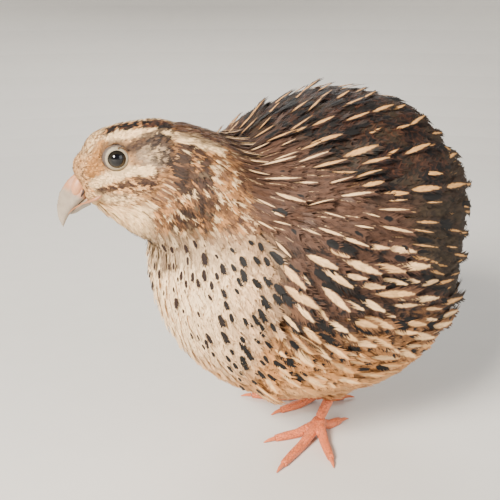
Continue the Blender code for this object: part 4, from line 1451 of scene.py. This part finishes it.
class QUAIL_OT_tail(bpy.types.Operator):
    """Fan the short tail feathers under their coverts"""

    bl_idname = "quail.tail"
    bl_label = "Tail"

    def execute(self, context):
        rng = drawer("tail")
        shapes = vane_shapes(rng)
        c = colours()
        blades, looks = [], []
        for tier, (count, length, height, width, pitch) in TAIL_TIERS.items():
            for k in range(count):
                fan = TAIL_FAN * (2.0 * k / (count - 1) - 1.0)
                outwards = abs(fan) / TAIL_FAN
                reach = length * (1.0 - TAIL_SHORTER * outwards) * rng.uniform(0.95, 1.03)
                spine = tail_spine(fan, reach, height - TAIL_DROP * outwards ** 2, pitch)
                tilt = math.copysign(TAIL_TILT, -fan)
                blades.append(blade(shapes[k % len(shapes)], spine, width, tilt))
                looks.append(wing_look("primary" if tier == "rectrix" else "secondary", c, rng))
        piece = joined_blades("tail_feathers", blades, looks, BACK)
        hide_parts("tail")
        return {"FINISHED"}


def horn_material(name, colour, tip, axis_point, reach, base=None):
    """Horn that changes its colour towards its tip, and fleshy at its base, with fine growth lines."""
    material = new_material(name)
    tree = material.node_tree
    lines = grained(tree, 650.0, 4.0, 0.75, 1.25)
    tipped = masked(tree, axis_point, reach, reach * 0.25)
    colour = blend(tree, tipped, solid(colour), solid(tip))
    if base is not None:
        waver = product(tree, lines["Grain"], 0.0016)
        fleshy = masked(tree, axis_point, reach * 1.45, reach * 1.75, waver)
        colour = blend(tree, fleshy, colour, solid(base))
    colour = shaded(tree, colour, lines["Shade"])
    rough = scaled(tree, lines["Grain"], 0.25, 0.28)
    return shader(material, colour, rough, lines["Grain"], 0.25, 0.0002, Coat_Weight=0.15)


def skin_like_material(name, colour, roughness):
    """Soft bare skin with small wrinkles."""
    material = new_material(name)
    tree = material.node_tree
    wrinkles = grained(tree, 1100.0, 3.0, 0.75, 1.2)
    colour = shaded(tree, solid(colour), wrinkles["Shade"])
    return shader(material, colour, roughness, wrinkles["Grain"], 0.35, 0.0002)


def tube(line, radii, segments=10):
    """A closed round cord through the places of a line, with its own radius at each."""
    bm = bmesh.new()
    ring = bmesh.ops.create_circle(bm, cap_ends=True, segments=segments, radius=1.0)["verts"]
    flat = [vert.co.copy() for vert in ring]
    face = bm.faces[:][0]
    line = [Vector(point) for point in line]
    for k, (point, radius) in enumerate(zip(line, radii)):
        if k:
            made = bmesh.ops.extrude_face_region(bm, geom=[face])["geom"]
            face = next(f for f in made if isinstance(f, bmesh.types.BMFace))
        ways = [line[j + 1] - line[j] for j in (k - 1, k) if 0 <= j < len(line) - 1]
        turn = sum(ways, Vector()).normalized().to_track_quat("Z", "Y").to_matrix()
        for vert, spot in zip(face.verts, flat):
            vert.co = point + turn @ (spot * radius)
    bmesh.ops.recalc_face_normals(bm, faces=bm.faces)
    return bm


# Places on the bill as forward, left and up from the head's centre. The operculum has its upper and its
# lower end, and its radii along, across and outwards; nostril and mouth are lines with their radii.
OPERCULUM = ((0.0110, 0.0026, -0.0064), (0.0140, 0.0034, -0.0124), (0.0035, 0.0021, 0.0016))
NOSTRIL = ((0.0100, 0.0050, -0.0090), (0.0120, 0.0050, -0.0126))
MOUTH_LINE = (
    (0.0178, 0.0012, -0.0203), (0.0150, 0.0031, -0.0172), (0.0118, 0.0044, -0.0152),
    (0.0092, 0.0056, -0.0142), (0.0070, 0.0072, -0.0130), (0.0056, 0.0084, -0.0119),
)
NOSTRIL_RADII = (0.0002, 0.0005, 0.0002)
NOSTRIL_BOW = 0.0003
MOUTH_RADII = (0.0001, 0.0002, 0.0003, 0.00045, 0.0006, 0.0003)
BILL_TIP = (0.0187, 0.0, -0.0240)

# The bill's horn: its cells, its rounds of smoothing, and how far the lower half is raised to shut it.
BILL_CELL = 0.00032
BILL_ROUNDS = 3
BILL_RAISE = 0.0013


def sideways(side):
    """One metre to that side of the head."""
    return head_point(0.0, side, 0.0) - head_point(0.0, 0.0, 0.0)


class QUAIL_OT_bill(bpy.types.Operator):
    """Shape the bill with its covered nostrils, the horn and the line of the mouth"""

    bl_idname = "quail.bill"
    bl_label = "Bill"

    def execute(self, context):
        c = colours()
        tip = head_point(*BILL_TIP) + SHIFT
        pink = c["flesh"] * 0.40 + c["cream"] * 0.25
        material = horn_material("Bill Horn", c["horn"], c["horn"] * 1.25, tip, 0.009, pink * 0.8)
        for half in ("upper", "lower"):
            bm = remeshed((f"bill_{half}",), BILL_CELL, BILL_ROUNDS)
            for vert in bm.verts:
                vert.co += vert.normal * BILL_CELL / 2.0
                if half == "lower":
                    vert.co.z += BILL_RAISE
            piece = finished(f"bill_horn_{half}", bm, material, "bill", shift=False)
            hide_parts(f"bill_{half}")
        soft = skin_like_material("Operculum Skin", pink, 0.45)
        # The nostril's slit is a raised cord in dark umber: painted shade where the opening lies.
        dark = skin_like_material("Nostril Skin", c["umber"], 0.6)
        gape = skin_like_material("Mouth Skin", pink * 0.75, 0.4)
        for name, side in SIDES.items():
            top, low, radii = OPERCULUM
            ends = [head_point(f, l * side, u) for f, l, u in (top, low)]
            bm = bmesh.new()
            bmesh.ops.create_uvsphere(bm, u_segments=28, v_segments=18, radius=1.0)
            bmesh.ops.scale(bm, vec=(radii[2], radii[1], radii[0]), verts=bm.verts)
            outwards = sideways(side)
            long_way = (ends[1] - ends[0]).normalized()
            outwards = (outwards - long_way * outwards.dot(long_way)).normalized()
            turn = Matrix((outwards, long_way.cross(outwards), long_way)).transposed()
            bmesh.ops.rotate(bm, matrix=turn, verts=bm.verts)
            bmesh.ops.translate(bm, vec=(ends[0] + ends[1]) / 2.0, verts=bm.verts)
            finished(f"operculum_{name}", bm, soft, "bill")
            # The dark cord of painted shade along the nostril's slit.
            line = [head_point(f, l * side, u) for f, l, u in NOSTRIL]
            line.insert(1, (line[0] + line[1]) / 2.0 + outwards * NOSTRIL_BOW)
            finished(f"nostril_{name}", tube(line, NOSTRIL_RADII), dark, "bill")
            line = [head_point(f, l * side, u) for f, l, u in MOUTH_LINE]
            finished(f"gape_{name}", tube(line, MOUTH_RADII), gape, "bill")
        return {"FINISHED"}


# The ring of skin round the eye: its radius, half width, half height, slope and stand over the centre.
RING_RADIUS = 0.00360
RING_WIDTH = 0.00090
RING_HEIGHT = 0.00050
RING_SLOPE = 0.00085
RING_OUT = 0.00128

# The ring's wrinkles as size, count and phase, how oval it is, and where it turns brown.
RING_WRINKLES = ((0.012, 19.0, 0.0), (0.01, 31.0, 1.0))
RING_OVAL = (1.04, 0.97, 1.0)
RING_BROWN = (0.00400, 0.00420)

# The share of the eye's radius from which its front bulges, and by how much.
CORNEA_START = 0.72
CORNEA_BULGE = 0.0009

# The iris darkens between these distances from the eye's front, and the pupil lies inside the others.
RIM_EDGE = (0.0025, 0.0029)
RIM_COLOUR = (0.006, 0.005, 0.004, 1.0)
PUPIL_EDGE = (0.00195, 0.00180)
PUPIL_COLOUR = (0.002, 0.002, 0.003, 1.0)


class QUAIL_OT_eyes(bpy.types.Operator):
    """Set the eyes in their rings of bare skin"""

    bl_idname = "quail.eyes"
    bl_label = "Eyes"

    def execute(self, context):
        c = colours()
        for name, side in SIDES.items():
            low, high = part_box(f"eye_{name}")
            centre = (low + high) / 2.0
            radius = (high.z - low.z) / 2.0
            outwards = sideways(side).normalized()
            turn = outwards.to_track_quat("Z", "Y").to_matrix()
            bm = bmesh.new()
            bmesh.ops.create_uvsphere(bm, u_segments=48, v_segments=32, radius=radius)
            bmesh.ops.recalc_face_normals(bm, faces=bm.faces)
            for vert in bm.verts:
                vert.co.z += max(0.0, vert.co.z / radius - CORNEA_START) * CORNEA_BULGE
            bmesh.ops.rotate(bm, matrix=turn, verts=bm.verts)
            bmesh.ops.translate(bm, vec=centre, verts=bm.verts)
            glossy = eye_material(name, centre + outwards * radius, c)
            ball = finished(f"eyeball_{name}", bm, glossy, "eye", shift=False)
            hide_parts(f"eye_{name}")
            bm = bmesh.new()
            section = bmesh.ops.create_circle(bm, segments=10, radius=1.0)["verts"]
            for vert in section:
                x, y = vert.co.x, vert.co.y
                rise = RING_OUT + RING_HEIGHT * y - RING_SLOPE * x
                vert.co = Vector((RING_RADIUS + RING_WIDTH * x, 0.0, rise))
            bmesh.ops.spin(
                bm, geom=section + bm.edges[:], axis=(0.0, 0.0, 1.0), cent=(0.0, 0.0, 0.0), angle=math.tau,
                steps=56, use_merge=True,
            )
            for vert in bm.verts:
                around = math.atan2(vert.co.y, vert.co.x)
                swell = 1.0
                for size, count, phase in RING_WRINKLES:
                    swell += size * math.sin(around * count + phase)
                vert.co *= swell
            bmesh.ops.scale(bm, vec=RING_OVAL, verts=bm.verts)
            bmesh.ops.rotate(bm, matrix=turn, verts=bm.verts)
            bmesh.ops.translate(bm, vec=centre, verts=bm.verts)
            bmesh.ops.recalc_face_normals(bm, faces=bm.faces)
            finished(f"eye_ring_{name}", bm, ring_material(name, centre, c), BREAST, shift=False)
        return {"FINISHED"}


def eye_material(name, front, c):
    """A dark glossy eye: pupil, olive iris and darker rim, by distance from its front."""
    material = new_material(f"Eye {name}")
    tree = material.node_tree
    streaks = grained(tree, 1800.0, 3.0, 0.5, 1.5)
    colour = shaded(tree, solid(c["iris"]), streaks["Shade"])
    colour = blend(tree, masked(tree, front, *RIM_EDGE), colour, RIM_COLOUR)
    colour = blend(tree, masked(tree, front, *PUPIL_EDGE), colour, PUPIL_COLOUR)
    rough = scaled(tree, streaks["Grain"], 0.02, 0.03)
    return shader(material, colour, rough, Coat_Weight=0.5, Coat_Roughness=0.02, Specular_IOR_Level=0.2)


def ring_material(name, centre, c):
    """Wrinkled bare skin, pale at the lid's edge and brown where the feathers begin."""
    material = new_material(f"Eye Ring {name}")
    tree = material.node_tree
    wrinkles = add(tree, "TexVoronoi", {"Vector": object_place(tree), "Scale": 2600.0}).outputs["Distance"]
    wide = grained(tree, 500.0, 2.0, 0.7, 1.15)
    colour = shaded(tree, solid(c["ring"]), wide["Shade"])
    colour = blend(tree, masked(tree, centre, *RING_BROWN), colour, solid(c["ash"], 0.8))
    return shader(material, colour, 0.55, wrinkles, 0.5, 0.0002)


# Legs: the length and rise of a scute, and the cells and rounds of smoothing of their skin.
SCUTE = 0.0013
SCUTE_RISE = 0.00022
LEG_CELL = 0.00034
LEG_ROUNDS = 3


class QUAIL_OT_legs(bpy.types.Operator):
    """Cover shanks, toes and claws in scutes and horn"""

    bl_idname = "quail.legs"
    bl_label = "Legs"

    def execute(self, context):
        c = colours()
        flesh = leg_material(c)
        claw = horn_material("Claw Horn", c["flesh"] * 0.8, c["umber"], (0.0, 0.0, 0.0), 0.001)
        for side in SIDES:
            for part in ("foot", "shank"):
                bm = remeshed((f"{part}_{side}",), LEG_CELL, LEG_ROUNDS)
                middle = FOOT_JOINTS[side] + SHIFT
                for vert in bm.verts:
                    along = (vert.co - middle).length if part == "foot" else vert.co.z
                    plate = min(abs(math.sin(math.pi * along / SCUTE)) * 1.6, 1.0) - 0.5
                    facing = max(0.0, vert.normal.z if part == "foot" else -vert.normal.x)
                    vert.co += vert.normal * SCUTE_RISE * plate * min(1.0, facing * 1.5)
                piece = finished(f"{part}_skin_{side}", bm, flesh, "leg_skin", shift=False)
                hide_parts(f"{part}_{side}")
            for toe in TOES:
                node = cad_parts[f"claw_{side}_{toe}"]
                node.data.materials.clear()
                node.data.materials.append(claw)
        return {"FINISHED"}


def leg_material(c):
    """Salmon skin under overlapping scutes."""
    material = new_material("Leg Scutes")
    tree = material.node_tree
    place = {"Vector": object_place(tree), "Scale": 950.0}
    cells = add(tree, "TexVoronoi", place, feature="DISTANCE_TO_EDGE").outputs["Distance"]
    groove = ramp(tree, cells, 0.0, 0.10)
    wide = grained(tree, 320.0, 3.0, 0.75, 1.2)
    colour = shaded(tree, solid(c["flesh"]), wide["Shade"])
    colour = blend(tree, groove, solid(c["flesh"], 0.45), colour)
    soft = {"Subsurface_Weight": 0.08, "Subsurface_Scale": 0.002}
    return shader(material, colour, 0.42, groove, 0.6, 0.0003, **soft)


# The backdrop is a bowl: flat to the first radius, then rising in a curve from the second.
FLAT_RADII = (0.3, 0.55)
BACKDROP_RADIUS = 1.0
BACKDROP_STEP = math.radians(4.0)
BACKDROP_STEPS = 21
BACKDROP_SIDES = 96

# Each lamp's place, size, power and colour, and where they all point.
LAMPS = {
    "key": ((-0.72, -0.38, 0.60), 0.28, 29.0, (1.0, 0.94, 0.85)),
    "fill": ((0.4, -0.8, 0.45), 0.6, 4.0, (0.95, 0.97, 1.0)),
    "rim": ((0.3, 0.7, 0.6), 0.5, 5.0, (1.0, 0.97, 0.93)),
}
LAMP_AIM = Vector((0.0, 0.0, 0.07))

SKY = (0.93, 0.95, 1.0, 1.0)
SKY_STRENGTH = 0.24

VIEW_AZIMUTH = math.radians(-30.0)
VIEW_ELEVATION = math.radians(18.0)
CAMERA_PLACE = Vector((-0.1597, -0.2371, 0.1689))
SENSOR_WIDTH = 36.0
FOCAL_LENGTH = 56.52


class QUAIL_OT_stage(bpy.types.Operator):
    """Set the floor, the soft studio light and the camera"""

    bl_idname = "quail.stage"
    bl_label = "Stage"

    def execute(self, context):
        scene = context.scene
        bm = bmesh.new()
        turns = [BACKDROP_STEP * k for k in range(BACKDROP_STEPS)]
        flat, curve = FLAT_RADII
        profile = [(0.0, 0.0), (flat, 0.0)]
        profile += [
            (curve + BACKDROP_RADIUS * math.sin(t), BACKDROP_RADIUS * (1.0 - math.cos(t))) for t in turns
        ]
        verts = [bm.verts.new((x, 0.0, z)) for x, z in profile]
        edges = [bm.edges.new(pair) for pair in zip(verts, verts[1:])]
        bmesh.ops.spin(
            bm, geom=verts + edges, cent=(0.0, 0.0, 0.0), axis=(0.0, 0.0, 1.0), angle=math.tau,
            steps=BACKDROP_SIDES, use_merge=True,
        )
        bmesh.ops.remove_doubles(bm, verts=bm.verts, dist=1e-5)
        bmesh.ops.recalc_face_normals(bm, faces=bm.faces)
        if min(bm.faces, key=lambda f: f.calc_center_median().z).normal.z < 0.0:
            bmesh.ops.reverse_faces(bm, faces=bm.faces)
        mesh = bpy.data.meshes.new("floor")
        bm.to_mesh(mesh)
        bm.free()
        floor = bpy.data.objects.new("floor", mesh)
        scene.collection.objects.link(floor)
        mesh.materials.append(floor_material())

        world = bpy.data.worlds.new("Studio")
        world.use_nodes = True
        background = world.node_tree.nodes["Background"]
        background.inputs[0].default_value = SKY
        background.inputs[1].default_value = SKY_STRENGTH
        scene.world = world
        for name, (place, size, power, colour) in LAMPS.items():
            light = bpy.data.lights.new(name, "AREA")
            light.size = size
            light.energy = power
            light.color = colour
            lamp = bpy.data.objects.new(name, light)
            lamp.location = place
            lamp.rotation_euler = (Vector(place) - LAMP_AIM).to_track_quat("Z", "Y").to_euler()
            scene.collection.objects.link(lamp)

        flat_way = math.cos(VIEW_ELEVATION)
        back = Vector(
            (
                math.sin(VIEW_AZIMUTH) * flat_way,
                -math.cos(VIEW_AZIMUTH) * flat_way,
                math.sin(VIEW_ELEVATION),
            )
        )
        data = bpy.data.cameras.new("camera")
        data.sensor_width = SENSOR_WIDTH
        data.lens = FOCAL_LENGTH
        camera = bpy.data.objects.new("camera", data)
        camera.location = CAMERA_PLACE + SHIFT
        camera.rotation_euler = back.to_track_quat("Z", "Y").to_euler()
        scene.collection.objects.link(camera)
        scene.camera = camera
        return {"FINISHED"}


def floor_material():
    material = new_material("Floor")
    tree = material.node_tree
    grain = grained(tree, 60.0, 4.0, 0.96, 1.02)
    colour = shaded(tree, solid(bpy.context.scene.quail_colours.floor[:]), grain["Shade"])
    return shader(material, colour, 0.7, grain["Grain"], 0.05, 0.001)


class QUAIL_PT_panel(bpy.types.Panel):
    """The quail's pieces in the order in which they are built"""

    bl_idname = "QUAIL_PT_panel"
    bl_label = "Quail"
    bl_space_type = "VIEW_3D"
    bl_region_type = "UI"
    bl_category = "Quail"

    def draw(self, context):
        for operator in OPERATORS:
            self.layout.operator(operator.bl_idname)
        for group_name, keys in (("quail_sizes", QuailSizes), ("quail_colours", QuailColours)):
            column = self.layout.column(align=True)
            for key in keys.__annotations__:
                column.prop(getattr(context.scene, group_name), key)


OPERATORS = (
    QUAIL_OT_stage,
    QUAIL_OT_skin,
    QUAIL_OT_head_coat,
    QUAIL_OT_body_coats,
    QUAIL_OT_bold_feathers,
    QUAIL_OT_wings,
    QUAIL_OT_tail,
    QUAIL_OT_bill,
    QUAIL_OT_eyes,
    QUAIL_OT_legs,
)
CLASSES = (QuailSizes, QuailColours, *OPERATORS, QUAIL_PT_panel)


def register():
    for cls in CLASSES:
        bpy.utils.register_class(cls)
    bpy.types.Scene.quail_sizes = PointerProperty(type=QuailSizes)
    bpy.types.Scene.quail_colours = PointerProperty(type=QuailColours)


def unregister():
    del bpy.types.Scene.quail_colours
    del bpy.types.Scene.quail_sizes
    for cls in reversed(CLASSES):
        bpy.utils.unregister_class(cls)


def main():
    register()
    for operator in OPERATORS:
        family, name = operator.bl_idname.split(".")
        getattr(getattr(bpy.ops, family), name)()


if __name__ == "__main__":
    main()
